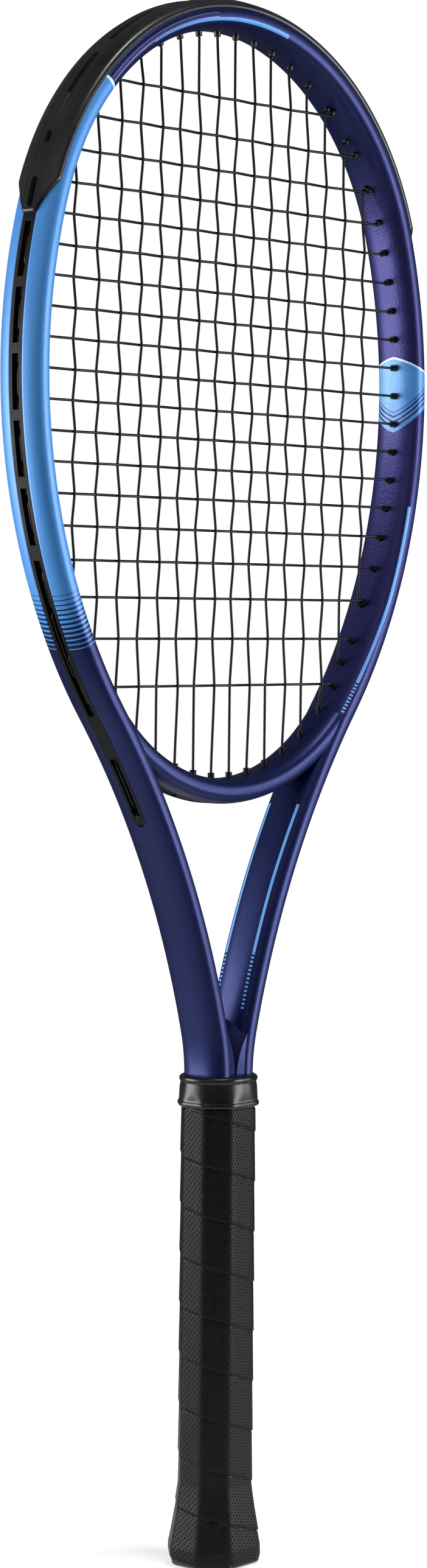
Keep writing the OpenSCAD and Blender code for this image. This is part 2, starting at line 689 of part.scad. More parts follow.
module butt_cap() color("black") {
    badge_gap = 2 * fit;
    difference() {
        oct_loft(concat(
            [[0, grip_w * 1.12, grip_depth * 1.12, grip_bevel * 1.12],
             [1, grip_w * 1.19, grip_depth * 1.19, grip_bevel * 1.19],
             [grip_low - 2 * fit, grip_w * 1.21, grip_depth * 1.21, grip_bevel * 1.21],
             flare_ring(grip_low - fit, grip_t + fit)],
            [for (z = flare_zs) flare_ring(z, grip_t + fit)]));
        translate([0, 0, cap_floor]) linear_extrude(flare_h)
            polygon(oct(plug_w, plug_depth, plug_bevel));
        translate([0, 0, -over]) linear_extrude(badge_t + 0.1 + over)
            polygon(oct(badge_w + badge_gap, badge_depth + badge_gap, badge_bevel));
        staple_legs(fit);
        staple_crowns(fit);
        tack_legs(fit);
        tack_crown(fit);
    }
}

badge_w = 24;
badge_depth = 20;
badge_bevel = 6;
badge_t = 0.6;

module butt_badge() color("gray") {
    translate([0, 0, 0.1]) linear_extrude(badge_t)
        polygon(oct(badge_w, badge_depth, badge_bevel));
}

// Two staples fix the cap to the handle's core, one on each narrow side.
staple_z = 28;
staple_span = 7;
staple_wire = 0.8;
staple_in = shank_w / 2 + 4 * fit;
staple_out = (grip_w * flare(staple_z)) / 2 - grip_t - 0.5;

module staple_legs(g) {
    both_sides() for (y = [-staple_span / 2, staple_span / 2])
        translate([staple_in - g, y - staple_wire / 2 - g, staple_z - staple_wire / 2 - g])
            cube([staple_out - staple_in, staple_wire + 2 * g, staple_wire + 2 * g]);
}

module staple_crowns(g) {
    both_sides()
        translate([staple_out - staple_wire - g, -staple_span / 2 - staple_wire / 2 - g,
                staple_z - staple_wire / 2 - g])
            cube([staple_wire + 4 * g, staple_span + staple_wire + 2 * g, staple_wire + 2 * g]);
}

module butt_staples() color("silver") {
    staple_legs(0);
    staple_crowns(0);
}

// One staple holds the start of the grip's strip on the front of the cap.
tack_z = 16;
tack_out = (grip_depth * flare(tack_z)) / 2 - grip_t - 0.5;
tack_in = shank_depth / 2 + 1;

module tack_legs(g) {
    for (x = [-staple_span / 2, staple_span / 2])
        translate([x - staple_wire / 2 - g, -tack_out, tack_z - staple_wire / 2 - g])
            cube([staple_wire + 2 * g, tack_out - tack_in + g, staple_wire + 2 * g]);
}

module tack_crown(g) {
    translate([-staple_span / 2 - staple_wire / 2 - g, -tack_out - 3 * g, tack_z - staple_wire / 2 - g])
        cube([staple_span + staple_wire + 2 * g, staple_wire + 4 * g, staple_wire + 2 * g]);
}

module grip_staple() color("silver") {
    tack_legs(0);
    tack_crown(0);
}

// Wound strip of grip, as the sleeve that its turns make.
module base_grip() color("darkslategray") {
    difference() {
        oct_loft(concat(
            [flare_ring(grip_low, 1), flare_ring(grip_low + 2, 0)],
            [for (z = flare_zs) flare_ring(z, 0)],
            [[grip_top, grip_w, grip_depth, grip_bevel]]));
        oct_loft(concat(
            [flare_ring(grip_low - 1, grip_t)],
            [for (z = flare_zs) flare_ring(z, grip_t)],
            [[grip_top + 1, pallet_w, pallet_depth, pallet_bevel]]));
    }
}

tape_t = 0.15;
tape_l = 4;

module finishing_tape() color("black") {
    tape_grow = 2 * (tape_t + fit);
    translate([0, 0, grip_top - tape_l]) linear_extrude(tape_l - fit) difference() {
        polygon(oct(grip_w + tape_grow, grip_depth + tape_grow, grip_bevel + 0.1));
        polygon(oct(grip_w + 2 * fit, grip_depth + 2 * fit, grip_bevel));
    }
}

// Ring over the top of the grip. It rolls up the shaft to free the grip for a new one, so
// its upper bore clears the arms over the whole travel.
module rubber_collar() color("black") {
    lap_w = grip_w + 2 * (tape_t + fit + slide_fit);
    lap_depth = grip_depth + 2 * (tape_t + fit + slide_fit);
    neck_half = rim_root_x(collar_top + collar_travel) + tube_t / 2 + slide_fit + 0.2;
    lip = 0.5;
    difference() {
        oct_loft([
            [collar_low, collar_w - lip, collar_depth - lip, grip_bevel],
            [collar_low + 1, collar_w + lip, collar_depth + lip, grip_bevel],
            [collar_low + 2.6, collar_w + lip, collar_depth + lip, grip_bevel],
            [collar_low + 3.6, collar_w - lip, collar_depth - lip, grip_bevel],
            [collar_top - 3, collar_w - lip, collar_depth - lip, grip_bevel],
            [collar_top - 2.2, collar_w, collar_depth, grip_bevel],
            [collar_top - 0.8, collar_w, collar_depth, grip_bevel],
            [collar_top, collar_w - 1, collar_depth - 1, grip_bevel]]);
        translate([0, 0, collar_low - 1]) linear_extrude(1 + collar_lap + 1)
            polygon(oct(lap_w, lap_depth, grip_bevel - 0.2));
        translate([0, 0, collar_low]) linear_extrude(collar_l + 1)
            polygon(oct(2 * neck_half, tube_depth + 2 * slide_fit, 2.5));
    }
}

frame_hairpin();
throat_bridge();
bumper_guard();
grommet_strip_left();
grommet_strip_right();
throat_strip();
main_string();
cross_string();
handle_pallet();
butt_cap();
butt_badge();
butt_staples();
grip_staple();
base_grip();
finishing_tape();
rubber_collar();
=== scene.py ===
import functools
import math
import bpy
import bmesh
from mathutils import Matrix, Vector


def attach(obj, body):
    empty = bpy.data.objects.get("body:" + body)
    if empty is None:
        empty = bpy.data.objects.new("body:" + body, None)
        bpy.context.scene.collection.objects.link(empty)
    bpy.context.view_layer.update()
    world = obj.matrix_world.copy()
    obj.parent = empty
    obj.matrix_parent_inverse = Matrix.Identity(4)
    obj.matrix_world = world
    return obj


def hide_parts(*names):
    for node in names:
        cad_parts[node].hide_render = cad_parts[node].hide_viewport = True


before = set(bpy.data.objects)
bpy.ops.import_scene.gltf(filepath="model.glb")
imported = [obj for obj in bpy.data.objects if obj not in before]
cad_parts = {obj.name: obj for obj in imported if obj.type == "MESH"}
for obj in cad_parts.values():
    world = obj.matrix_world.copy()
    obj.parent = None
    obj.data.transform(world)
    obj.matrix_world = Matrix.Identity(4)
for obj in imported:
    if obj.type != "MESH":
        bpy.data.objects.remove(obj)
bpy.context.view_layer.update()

rad, deg = math.radians, math.degrees
MM = 0.001

# ---------------------------------------------------------------- sizes
# Millimetres and degrees. They are the CAD source's sizes, apart from those with a note.
TOP_R, SIDE_R, SIDE_TURN, LEAN = 124.0, 237.0, 18.0, 37.8
SHAFT_Z, SHAFT_X, ROOT_R, ROOT_TURN = 218.0, 7.5, 82.0, 14.5
TUBE_T, TUBE_D, GROOVE_W, GROOVE_D = 12.0, 24.0, 7.0, 3.0
GROOVE_LOW_Z = 334.0        # height at which the outer groove ends
BRIDGE_R, BRIDGE_T, BRIDGE_D = 100.0, 11.5, 21.0
MAINS, CROSSES = 8, 19      # mains on each side, and crosses
BRIDGE_MAINS, ARM_MAINS = 4, 6      # number of the last main that ends in the bridge, and in the arm
WEAVE, LANE = 0.7, 0.75     # how far a string is from the middle plane in the bed, and in its hole
BARREL_TIP, LEAD = 2.2, 0.9         # how far a barrel stands out, and the straight string before it
LOOP_D, LEAD_D, BEND = 4.8, -9.1, 1.1
STRING_R = 0.59             # drawn a little finer than the CAD string
GRIP_W, GRIP_D, GRIP_B = 33.6, 29.8, 8.6
GRIP_TOP, FLARE_H, FLARE_GAIN = 209.0, 36.0, 0.24
GRIP_LOW = 1.2              # lower edge of the wound strip, drawn lower round the butt than in the CAD
TAPE_TURN = 22.4            # rise of the wound strip in one turn
COLLAR_LOW, COLLAR_W, COLLAR_D = 205.0, 36.0, 32.0
LOBE = 0.8                  # exponent of the tube's section, where 1 is an ellipse

# Arcs of the centre line: their joins, centres, turns and runs from the top
WIDE_X = SIDE_R * (1 - math.cos(rad(SIDE_TURN))) + TOP_R * math.cos(rad(SIDE_TURN))
JOIN_X = WIDE_X - SIDE_R * (1 - math.cos(rad(LEAN)))
ROOT_X = SHAFT_X + ROOT_R * (1 - math.cos(rad(ROOT_TURN)))
ARM_R = (JOIN_X - ROOT_X) / (math.cos(rad(ROOT_TURN)) - math.cos(rad(LEAN)))
ROOT_Z = SHAFT_Z + ROOT_R * math.sin(rad(ROOT_TURN))
JOIN_Z = ROOT_Z + ARM_R * (math.sin(rad(LEAN)) - math.sin(rad(ROOT_TURN)))
WIDE_Z = JOIN_Z + SIDE_R * math.sin(rad(LEAN))
ARM_C = (ROOT_X + ARM_R * math.cos(rad(ROOT_TURN)), ROOT_Z - ARM_R * math.sin(rad(ROOT_TURN)))
SIDE_C = (WIDE_X - SIDE_R, WIDE_Z)
TOP_C = (0.0, WIDE_Z + (SIDE_R - TOP_R) * math.sin(rad(SIDE_TURN)))
BRIDGE_C = (0.0, WIDE_Z - math.sqrt((SIDE_R - TUBE_T / 2 - BRIDGE_R) ** 2 - SIDE_C[0] ** 2))
T_SIDE, T_ARM = 90 - SIDE_TURN, 90 + LEAN
T_ROOT = T_ARM + LEAN - ROOT_TURN
S_SIDE = TOP_R * rad(T_SIDE)
S_ARM = S_SIDE + SIDE_R * rad(T_ARM - T_SIDE)
S_ROOT = S_ARM + ARM_R * rad(T_ROOT - T_ARM)
S_SHAFT = S_ROOT + ROOT_R * rad(ROOT_TURN)


def along(s):
    """Centre line point and outward normal on the right half, s mm from the top."""
    if s < S_SIDE:
        t = s / TOP_R
        n = (math.sin(t), math.cos(t))
        return (TOP_C[0] + TOP_R * n[0], TOP_C[1] + TOP_R * n[1]), n
    if s < S_ARM:
        t = rad(T_SIDE) + (s - S_SIDE) / SIDE_R
        n = (math.sin(t), math.cos(t))
        return (SIDE_C[0] + SIDE_R * n[0], SIDE_C[1] + SIDE_R * n[1]), n
    if s < S_ROOT:
        a = rad(LEAN) - (s - S_ARM) / ARM_R
        n = (math.cos(a), -math.sin(a))
        return (ARM_C[0] - ARM_R * n[0], ARM_C[1] - ARM_R * n[1]), n
    if s < S_SHAFT:
        a = rad(ROOT_TURN) - (s - S_ROOT) / ROOT_R
        n = (math.cos(a), -math.sin(a))
        return (SHAFT_X + ROOT_R - ROOT_R * n[0], SHAFT_Z - ROOT_R * n[1]), n
    return (SHAFT_X, SHAFT_Z - (s - S_SHAFT)), (1.0, 0.0)


def turn_s(turn):
    """Run from the top to the place where the outward normal has turned this far."""
    if turn < T_SIDE:
        return TOP_R * rad(turn)
    if turn < T_ARM:
        return S_SIDE + SIDE_R * rad(turn - T_SIDE)
    return S_ARM + ARM_R * rad(turn - T_ARM)


def rim(turn, d):
    """Point d mm outside the centre line."""
    (x, z), n = along(turn_s(turn))
    return x + d * n[0], z + d * n[1]


def smooth(x, a, b):
    """0 at a, 1 at b, smooth between."""
    t = max(0.0, min(1.0, (x - a) / (b - a)))
    return t * t * (3 - 2 * t)


# ---------------------------------------------------------------- meshes
def link(ob):
    bpy.context.scene.collection.objects.link(ob)
    return ob


def new_object(name, verts, faces, uvs=None, sharp=40.0, *, mat):
    """Object from points in mm. uvs has one tuple of places for each face, for the map "lay"."""
    mesh = bpy.data.meshes.new(name)
    mesh.from_pydata([(x * MM, y * MM, z * MM) for x, y, z in verts], [], faces)
    mesh.update()
    if uvs is not None:
        layer = mesh.uv_layers.new(name="lay")
        k = 0
        for face in uvs:
            for uv in face:
                layer.data[k].uv = uv
                k += 1
    bm = bmesh.new()
    bm.from_mesh(mesh)
    bmesh.ops.recalc_face_normals(bm, faces=bm.faces)
    bm.to_mesh(mesh)
    bm.free()
    mesh.shade_smooth()
    mesh.set_sharp_from_angle(angle=rad(sharp))
    mesh.materials.append(mat)
    return link(bpy.data.objects.new(name, mesh))


def skin(name, rows, us, vs, closed=True, caps=False, **kw):
    """Surface over rows of points. us has one number per row, and vs one per column, for the map."""
    n = len(rows[0])
    verts = [p for r in rows for p in r]
    faces, uvs = [], []
    cols = n if closed else n - 1
    for i in range(len(rows) - 1):
        for j in range(cols):
            k = (j + 1) % n
            faces.append((i * n + j, i * n + k, (i + 1) * n + k, (i + 1) * n + j))
            v1 = vs[j + 1] if closed else vs[k]
            uvs.append(((us[i], vs[j]), (us[i], v1), (us[i + 1], v1), (us[i + 1], vs[j])))
    if caps:
        for i in (0, len(rows) - 1):
            faces.append(tuple(i * n + j for j in range(n)))
            uvs.append(tuple((us[i], vs[j]) for j in range(n)))
    return new_object(name, verts, faces, uvs, **kw)


def spow(x, p):
    """Power that keeps the sign."""
    return math.copysign(abs(x) ** p, x)


def lobe(a, b, phi):
    """Point of the tube's section: outward first, then back."""
    return a * spow(math.cos(phi), LOBE), b * spow(math.sin(phi), LOBE)


# ---------------------------------------------------------------- materials
class Nodes:
    """Short way to write a material's arithmetic."""

    def __init__(self, name):
        self.mat = bpy.data.materials.new(name)
        self.mat.use_nodes = True
        self.tree = self.mat.node_tree
        self.bsdf = self.tree.nodes["Principled BSDF"]

    def node(self, kind, **values):
        n = self.tree.nodes.new(kind)
        for key, value in values.items():
            setattr(n, key, value)
        return n

    def put(self, socket, value):
        if isinstance(value, bpy.types.NodeSocket):
            self.tree.links.new(value, socket)
        else:
            socket.default_value = value

    def math(self, op, a, b=0.0, clamp=False):
        n = self.node("ShaderNodeMath", operation=op, use_clamp=clamp)
        for socket, value in zip(n.inputs, (a, b)):
            self.put(socket, value)
        return n.outputs[0]

    def step(self, x, a, b):
        """0 below a, 1 above b, smooth between."""
        n = self.node("ShaderNodeMapRange", interpolation_type="SMOOTHSTEP")
        for socket, value in zip(n.inputs, (x, a, b, 0.0, 1.0)):
            self.put(socket, value)
        return n.outputs[0]

    def band(self, x, lo, hi, soft):
        """1 from lo to hi, where each is a number or a socket."""
        def over(limit):
            if isinstance(limit, bpy.types.NodeSocket):
                return self.step(self.math("SUBTRACT", x, limit), -soft, soft)
            return self.step(x, limit - soft, limit + soft)

        return self.math("SUBTRACT", over(lo), over(hi), clamp=True)

    def flip(self, mask):
        return self.math("SUBTRACT", 1.0, mask)

    def both(self, *masks):
        return functools.reduce(lambda a, b: self.math("MULTIPLY", a, b), masks)

    def any(self, *masks):
        return functools.reduce(lambda a, b: self.math("MAXIMUM", a, b), masks)

    def mix(self, f, a, b):
        n = self.node("ShaderNodeMix", data_type="RGBA")
        self.put(n.inputs[0], f)
        self.put(n.inputs[6], (*a, 1.0) if isinstance(a, tuple) else a)
        self.put(n.inputs[7], (*b, 1.0) if isinstance(b, tuple) else b)
        return n.outputs[2]

    def ramp(self, x, a, b, lo, hi):
        """lo at a, hi at b, straight between."""
        n = self.node("ShaderNodeMapRange")
        for socket, value in zip(n.inputs, (x, a, b, lo, hi)):
            self.put(socket, value)
        return n.outputs[0]

    def uv(self):
        """The two places of the map "lay"."""
        n = self.node("ShaderNodeUVMap", uv_map="lay")
        s = self.node("ShaderNodeSeparateXYZ")
        self.tree.links.new(n.outputs[0], s.inputs[0])
        return s.outputs[0], s.outputs[1]

    def place(self):
        """The point in the object's own space, in metres, and its x, y and z."""
        n = self.node("ShaderNodeTexCoord")
        s = self.node("ShaderNodeSeparateXYZ")
        self.tree.links.new(n.outputs["Object"], s.inputs[0])
        return n.outputs["Object"], s.outputs

    def noise(self, vector, scale, detail, rough=0.5):
        n = self.node("ShaderNodeTexNoise")
        self.put(n.inputs["Vector"], vector)
        self.put(n.inputs["Scale"], scale)
        self.put(n.inputs["Detail"], detail)
        self.put(n.inputs["Roughness"], rough)
        return n.outputs[0]

    def cells(self, vector, scale):
        n = self.node("ShaderNodeTexVoronoi")
        self.put(n.inputs["Vector"], vector)
        self.put(n.inputs["Scale"], scale)
        return n.outputs[0]

    def bump(self, height, strength, distance, below=None):
        n = self.node("ShaderNodeBump")
        self.put(n.inputs["Strength"], strength)
        self.put(n.inputs["Distance"], distance)
        self.put(n.inputs["Height"], height)
        if below is not None:
            self.put(n.inputs["Normal"], below)
        return n.outputs[0]

    def set(self, **values):
        names = {"color": "Base Color", "rough": "Roughness", "metal": "Metallic", "normal": "Normal",
                 "coat": "Coat Weight", "coat_rough": "Coat Roughness", "spec": "Specular IOR Level",
                 "glow": "Emission Color", "glow_strength": "Emission Strength", "alpha": "Alpha"}
        for key, value in values.items():
            self.put(self.bsdf.inputs[names[key]], (*value, 1.0) if isinstance(value, tuple) else value)
        return self.mat


NAVY = (0.0045, 0.011, 0.066)
VIOLET = (0.030, 0.024, 0.115)
SKY = (0.050, 0.225, 0.57)
PALE = (0.55, 0.75, 0.92)
LINE_BLUE = (0.13, 0.36, 0.80)
LILAC = (0.35, 0.33, 0.62)
ARROW_BACK, ARROW_FRONT = (0.14, 0.35, 0.64), (0.05, 0.21, 0.52)

# Painted fields. Runs are mm from the top along the tube, and angles are degrees round it:
# 0 outside, 90 back, 180 inside, 270 front.
FIELD_RUN = (101.0, 352.0)                  # sky blue on the left rim
FADE_RUN, FADE_PITCH, FADE_COUNT = 326.0, 2.05, 12.0
STRIPE_RUN, STRIPE_ANGLE = (-66.0, 29.0), 262.0
HAIR_RUN, HAIR_ANGLES = (-99.0, -20.0), ((275.0, 276.5), (264.0, 265.5))
ARROW_RUN, ARROW_LEANS = (211.6, 247.6), (0.068, 0.115)
RUNG_RUN, RUNG_PITCH = (1.1, 9.8), 2.3
RULE_RUN, RULE_DASHES, RULE_HALF = (283.0, 374.0), (373.0, 392.0), 6.5
RULE_DRIFT = (330.0, 390.0, 251.0, 235.0)   # from run to run, its angle goes from this to this
ARM_RUN, ARM_DASHES, ARM_HALF = (441.0, 512.0), (511.0, 538.0), 4.2
ARM_DRIFT = (444.0, 480.0, 216.0, 213.0)
ARM_BACK_ANGLES, ARM_BACK_DASHES = (130.0, 143.0), (511.0, 530.0)
DASH_PITCH = 1.9
GRAIN_RUN = (120.0, 400.0)                  # grained paint on the right inner face


def plain_paint(nt, base, vector):
    """Base colour with fine violet fleck and broad clouds."""
    fleck = nt.noise(vector, 900.0, 2.0, 0.6)
    cloud = nt.noise(vector, 14.0, 2.0)
    mixed = nt.mix(nt.ramp(fleck, 0.35, 0.7, 0.0, 0.22), base, VIOLET)
    return nt.mix(nt.ramp(cloud, 0.35, 0.7, 0.0, 0.25), mixed, NAVY)


def finish_paint(nt, color, vector, grain=None, bright=None):
    """Pearl lacquer. grain is a relief, and bright masks the plain colours, which have little pearl."""
    pearl, plain = 0.72, 0.12
    peel = nt.noise(vector, 260.0, 2.0)
    normal = nt.bump(peel, 0.06, 0.0004)
    if grain is not None:
        normal = nt.bump(grain, 0.35, 0.0002, normal)
    metal = pearl if bright is None else nt.ramp(bright, 0.0, 1.0, pearl, plain)
    rough = nt.ramp(nt.noise(vector, 30.0, 3.0), 0.3, 0.7, 0.40, 0.47)
    return nt.set(color=color, rough=rough, metal=metal, normal=normal, coat=0.07, coat_rough=0.2, spec=0.35)


def frame_paint():
    nt = Nodes("frame_paint")
    vector, _ = nt.place()
    s, phi = nt.uv()
    inward = nt.math("ABSOLUTE", nt.math("SUBTRACT", phi, 180.0))
    right = nt.step(s, 0.0, 0.5)
    sa = nt.math("ABSOLUTE", s)
    left = nt.flip(right)
    # left rim: sky blue down to a run of thin dark lines that grow broader, with a pale top edge
    field = nt.both(left, nt.band(sa, *FIELD_RUN, 0.2))
    count = nt.math("DIVIDE", nt.math("SUBTRACT", sa, FADE_RUN), FADE_PITCH)
    share = nt.ramp(count, 0.0, FADE_COUNT, 0.12, 0.80)
    dark = nt.math("SUBTRACT", share, nt.math("FRACT", count))
    lines = nt.both(nt.step(dark, -0.04, 0.04), nt.step(count, 0.0, 0.01))
    field = nt.both(field, nt.flip(lines))
    tip = nt.both(left, nt.band(sa, FIELD_RUN[0] - 1.4, FIELD_RUN[0], 0.1))
    # top: stripe on the front inner edge, drawn out to a point, and two hairlines
    edge = nt.math("ADD", STRIPE_ANGLE, nt.ramp(s, -100.0, 20.0, 0.0, -8.0))
    width = nt.ramp(s, -60.0, 0.0, 2.0, 8.0)
    top_stripe = nt.both(nt.band(s, *STRIPE_RUN, 0.3),
                         nt.band(phi, nt.math("SUBTRACT", edge, width), nt.math("ADD", edge, width), 0.8))
    hair = nt.both(nt.band(s, *HAIR_RUN, 0.4), nt.any(*[nt.band(phi, *pair, 0.5) for pair in HAIR_ANGLES]))
    # right rim: arrow-shaped field over the inner face
    top_line = nt.math("ADD", ARROW_RUN[0], nt.math("MULTIPLY", inward, ARROW_LEANS[0]))
    low_line = nt.math("SUBTRACT", ARROW_RUN[1], nt.math("MULTIPLY", inward, ARROW_LEANS[1]))
    arrow = nt.both(right, nt.band(sa, top_line, low_line, 0.15))
    up = nt.math("SUBTRACT", low_line, sa)
    rung = nt.math("FRACT", nt.math("DIVIDE", nt.math("SUBTRACT", up, RUNG_RUN[0]), RUNG_PITCH))
    rungs = nt.both(nt.band(up, *RUNG_RUN, 0.1), nt.step(rung, 0.52, 0.60))
    arrow = nt.both(arrow, nt.flip(rungs))
    outline = nt.both(right, nt.band(nt.math("SUBTRACT", sa, top_line), 0.0, 0.9, 0.12))
    # right rim and arm: lines that end in dashes
    dash = nt.step(nt.math("FRACT", nt.math("DIVIDE", sa, DASH_PITCH)), 0.45, 0.55)

    def dashed(run, dashes):
        return nt.any(nt.band(s, *run, 0.3), nt.both(nt.band(s, *dashes, 0.2), dash))

    off = nt.math("SUBTRACT", phi, nt.ramp(s, *RULE_DRIFT))
    rule = nt.both(right, nt.band(off, -RULE_HALF, RULE_HALF, 0.8), dashed(RULE_RUN, RULE_DASHES))
    off = nt.math("SUBTRACT", phi, nt.ramp(s, *ARM_DRIFT))
    arm_front = nt.both(nt.band(off, -ARM_HALF, ARM_HALF, 0.5), dashed(ARM_RUN, ARM_DASHES))
    arm_back = nt.both(nt.band(phi, *ARM_BACK_ANGLES, 0.5), dashed(ARM_RUN, ARM_BACK_DASHES))

    base = plain_paint(nt, NAVY, vector)
    flank = nt.both(nt.band(s, *GRAIN_RUN, 20.0), nt.band(inward, -90.0, 78.0, 14.0))
    base = nt.mix(nt.math("MULTIPLY", flank, 0.55), base, VIOLET)
    color = nt.mix(field, base, SKY)
    color = nt.mix(tip, color, PALE)
    color = nt.mix(top_stripe, color, SKY)
    color = nt.mix(nt.math("MULTIPLY", hair, 0.6), color, LILAC)
    color = nt.mix(arrow, color, nt.mix(nt.step(phi, 150.0, 215.0), ARROW_BACK, ARROW_FRONT))
    color = nt.mix(outline, color, PALE)
    color = nt.mix(nt.any(rule, arm_front, arm_back), color, LINE_BLUE)
    grained = nt.both(nt.band(s, *GRAIN_RUN, 15.0), nt.band(inward, -90.0, 75.0, 10.0))
    grain = nt.both(nt.cells(vector, 1000.0), grained)
    pale = nt.any(field, tip, outline, top_stripe, arrow, rule, arm_front, arm_back)
    return finish_paint(nt, color, vector, grain, pale)


def navy_paint():
    nt = Nodes("navy_paint")
    vector, _ = nt.place()
    return finish_paint(nt, plain_paint(nt, NAVY, vector), vector)


def black_plastic(name, rough, grain=1400.0, base=(0.010, 0.010, 0.011), spec=0.3):
    nt = Nodes(name)
    vector, _ = nt.place()
    fine = nt.noise(vector, grain, 2.0, 0.6)
    broad = nt.noise(vector, 45.0, 3.0)
    color = nt.mix(nt.ramp(broad, 0.3, 0.7, 0.0, 1.0), base, tuple(c * 1.7 for c in base))
    return nt.set(color=color, rough=nt.ramp(broad, 0.3, 0.7, *rough),
                  normal=nt.bump(fine, 0.25, 0.0001), spec=spec)


def string_gut():
    nt = Nodes("string_gut")
    vector, _ = nt.place()
    grain = nt.noise(vector, 2200.0, 2.0)
    color = nt.mix(nt.ramp(grain, 0.3, 0.7, 0.0, 1.0), (0.004, 0.004, 0.005), (0.012, 0.012, 0.013))
    return nt.set(color=color, rough=0.36, normal=nt.bump(grain, 0.15, 0.00005), spec=0.14)


def grip_leather():
    """Strip with rows of small holes, each row along the strip's own run."""
    nt = Nodes("grip_leather")
    vector, _ = nt.place()
    a, b = nt.uv()
    pitch, row_pitch = 1.95, 1.35                   # mm between holes, and between rows
    row = nt.math("DIVIDE", b, row_pitch)
    shift = nt.math("MULTIPLY", nt.math("FLOOR", row), 0.5)
    col = nt.math("ADD", nt.math("DIVIDE", a, pitch), shift)
    u = nt.math("MULTIPLY", nt.math("SUBTRACT", nt.math("FRACT", col), 0.5), pitch)
    v = nt.math("MULTIPLY", nt.math("SUBTRACT", nt.math("FRACT", row), 0.5), row_pitch)
    far = nt.math("SQRT", nt.math("ADD", nt.math("MULTIPLY", u, u), nt.math("MULTIPLY", v, v)))
    hole = nt.flip(nt.step(far, 0.24, 0.46))
    pores = nt.cells(vector, 2100.0)
    crease = nt.noise(vector, 420.0, 4.0, 0.6)
    base = nt.mix(nt.ramp(crease, 0.3, 0.7, 0.0, 1.0), (0.0022, 0.0022, 0.0024), (0.0055, 0.0055, 0.0058))
    # the holes are coloured darker than the strip round them: painted shade in them
    color = nt.mix(hole, base, (0.0015, 0.0015, 0.0015))
    normal = nt.bump(pores, 0.3, 0.00012)
    normal = nt.bump(crease, 0.2, 0.0003, normal)
    normal = nt.bump(nt.flip(hole), 0.9, 0.0004, normal)
    rough = nt.math("ADD", nt.ramp(crease, 0.3, 0.7, 0.37, 0.47), nt.math("MULTIPLY", hole, 0.3), clamp=True)
    return nt.set(color=color, rough=rough, normal=normal, spec=0.115)


def soft_rubber():
    nt = Nodes("soft_rubber")
    vector, _ = nt.place()
    cloud = nt.noise(vector, 90.0, 3.0)
    fine = nt.noise(vector, 900.0, 2.0)
    color = nt.mix(nt.ramp(cloud, 0.3, 0.7, 0.0, 1.0), (0.004, 0.004, 0.0045), (0.009, 0.009, 0.0095))
    return nt.set(color=color, rough=nt.ramp(cloud, 0.3, 0.7, 0.22, 0.32),
                  normal=nt.bump(fine, 0.08, 0.0001), spec=0.28)


def wire_steel():
    nt = Nodes("wire_steel")
    vector, _ = nt.place()
    grain = nt.noise(vector, 3000.0, 2.0)
    color = nt.mix(grain, (0.45, 0.45, 0.47), (0.62, 0.62, 0.64))
    return nt.set(color=color, metal=1.0, rough=nt.ramp(grain, 0.3, 0.7, 0.25, 0.4))


def foam_core():
    nt = Nodes("foam_core")
    vector, _ = nt.place()
    grain = nt.cells(vector, 1500.0)
    color = nt.mix(grain, (0.40, 0.30, 0.18), (0.62, 0.52, 0.36))
    return nt.set(color=color, rough=0.85, normal=nt.bump(grain, 0.4, 0.0002))


PAINT = frame_paint()
NAVY_PAINT = navy_paint()
GUARD = black_plastic("guard_black", (0.26, 0.36))
STRIP = black_plastic("strip_black", (0.4, 0.55), 1800.0, (0.004, 0.004, 0.0043), 0.10)
CAP = black_plastic("cap_black", (0.38, 0.5), 1100.0)
BADGE = black_plastic("badge_grey", (0.35, 0.5), 900.0, (0.05, 0.05, 0.053))
TAPE = black_plastic("tape_black", (0.3, 0.4), 1300.0)
STRING = string_gut()
LEATHER = grip_leather()
RUBBER = soft_rubber()
STEEL = wire_steel()
FOAM = foam_core()


# CAD nodes that stay in view
for node, mat in (("grommet_strip_left", STRIP), ("grommet_strip_right", STRIP), ("throat_strip", STRIP),
                  ("handle_pallet", FOAM), ("butt_cap", CAP), ("butt_badge", BADGE),
                  ("butt_staples", STEEL), ("grip_staple", STEEL), ("finishing_tape", TAPE)):
    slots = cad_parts[node].data.materials
    slots.clear()
    slots.append(mat)

# ---------------------------------------------------------------- frame
GROOVE_END = turn_s(T_ARM + LEAN - deg(math.asin((GROOVE_LOW_Z - ARM_C[1]) / ARM_R)))
EDGE = GROOVE_W / 2
PHI_G = math.asin((EDGE / (TUBE_D / 2)) ** (1 / LOBE))      # where the section meets the groove
ROUND_COLS, GROOVE_COLS = 68, 7


def tube_ring(s, grooved):
    """Section of the tube, from one lip of the groove round the back to the other, then across it."""
    (cx, cz), (nx, nz) = along(abs(s))
    side = -1 if s < 0 else 1
    left = GROOVE_END - abs(s)
    edge = EDGE * math.sqrt(max(0.0, 1 - max(0.0, (EDGE - left) / EDGE) ** 2)) if left > 0 else 0.0
    edge = max(edge, 0.05)
    pts = []
    for i in range(ROUND_COLS + 1):
        phi = PHI_G + (2 * math.pi - 2 * PHI_G) * i / ROUND_COLS
        pts.append(lobe(TUBE_T / 2, TUBE_D / 2, phi))
    floor = TUBE_T / 2 - GROOVE_D
    lip = 0.35
    if grooved:
        d = pts[0][0]
        pts[0] = (d, edge + lip)
        pts[-1] = (d, -edge - lip)
        pts += [(d - lip * 0.3, -edge - lip * 0.3), (d - lip, -edge), (floor, -edge), (floor, 0.0),
                (floor, edge), (d - lip, edge), (d - lip * 0.3, edge + lip * 0.3)]
    else:
        for i in range(GROOVE_COLS):
            phi = -PHI_G + 2 * PHI_G * (i + 0.5) / GROOVE_COLS
            pts.append(lobe(TUBE_T / 2, TUBE_D / 2, phi))
    return [(side * (cx + d * nx), y, cz + d * nz) for d, y in pts]


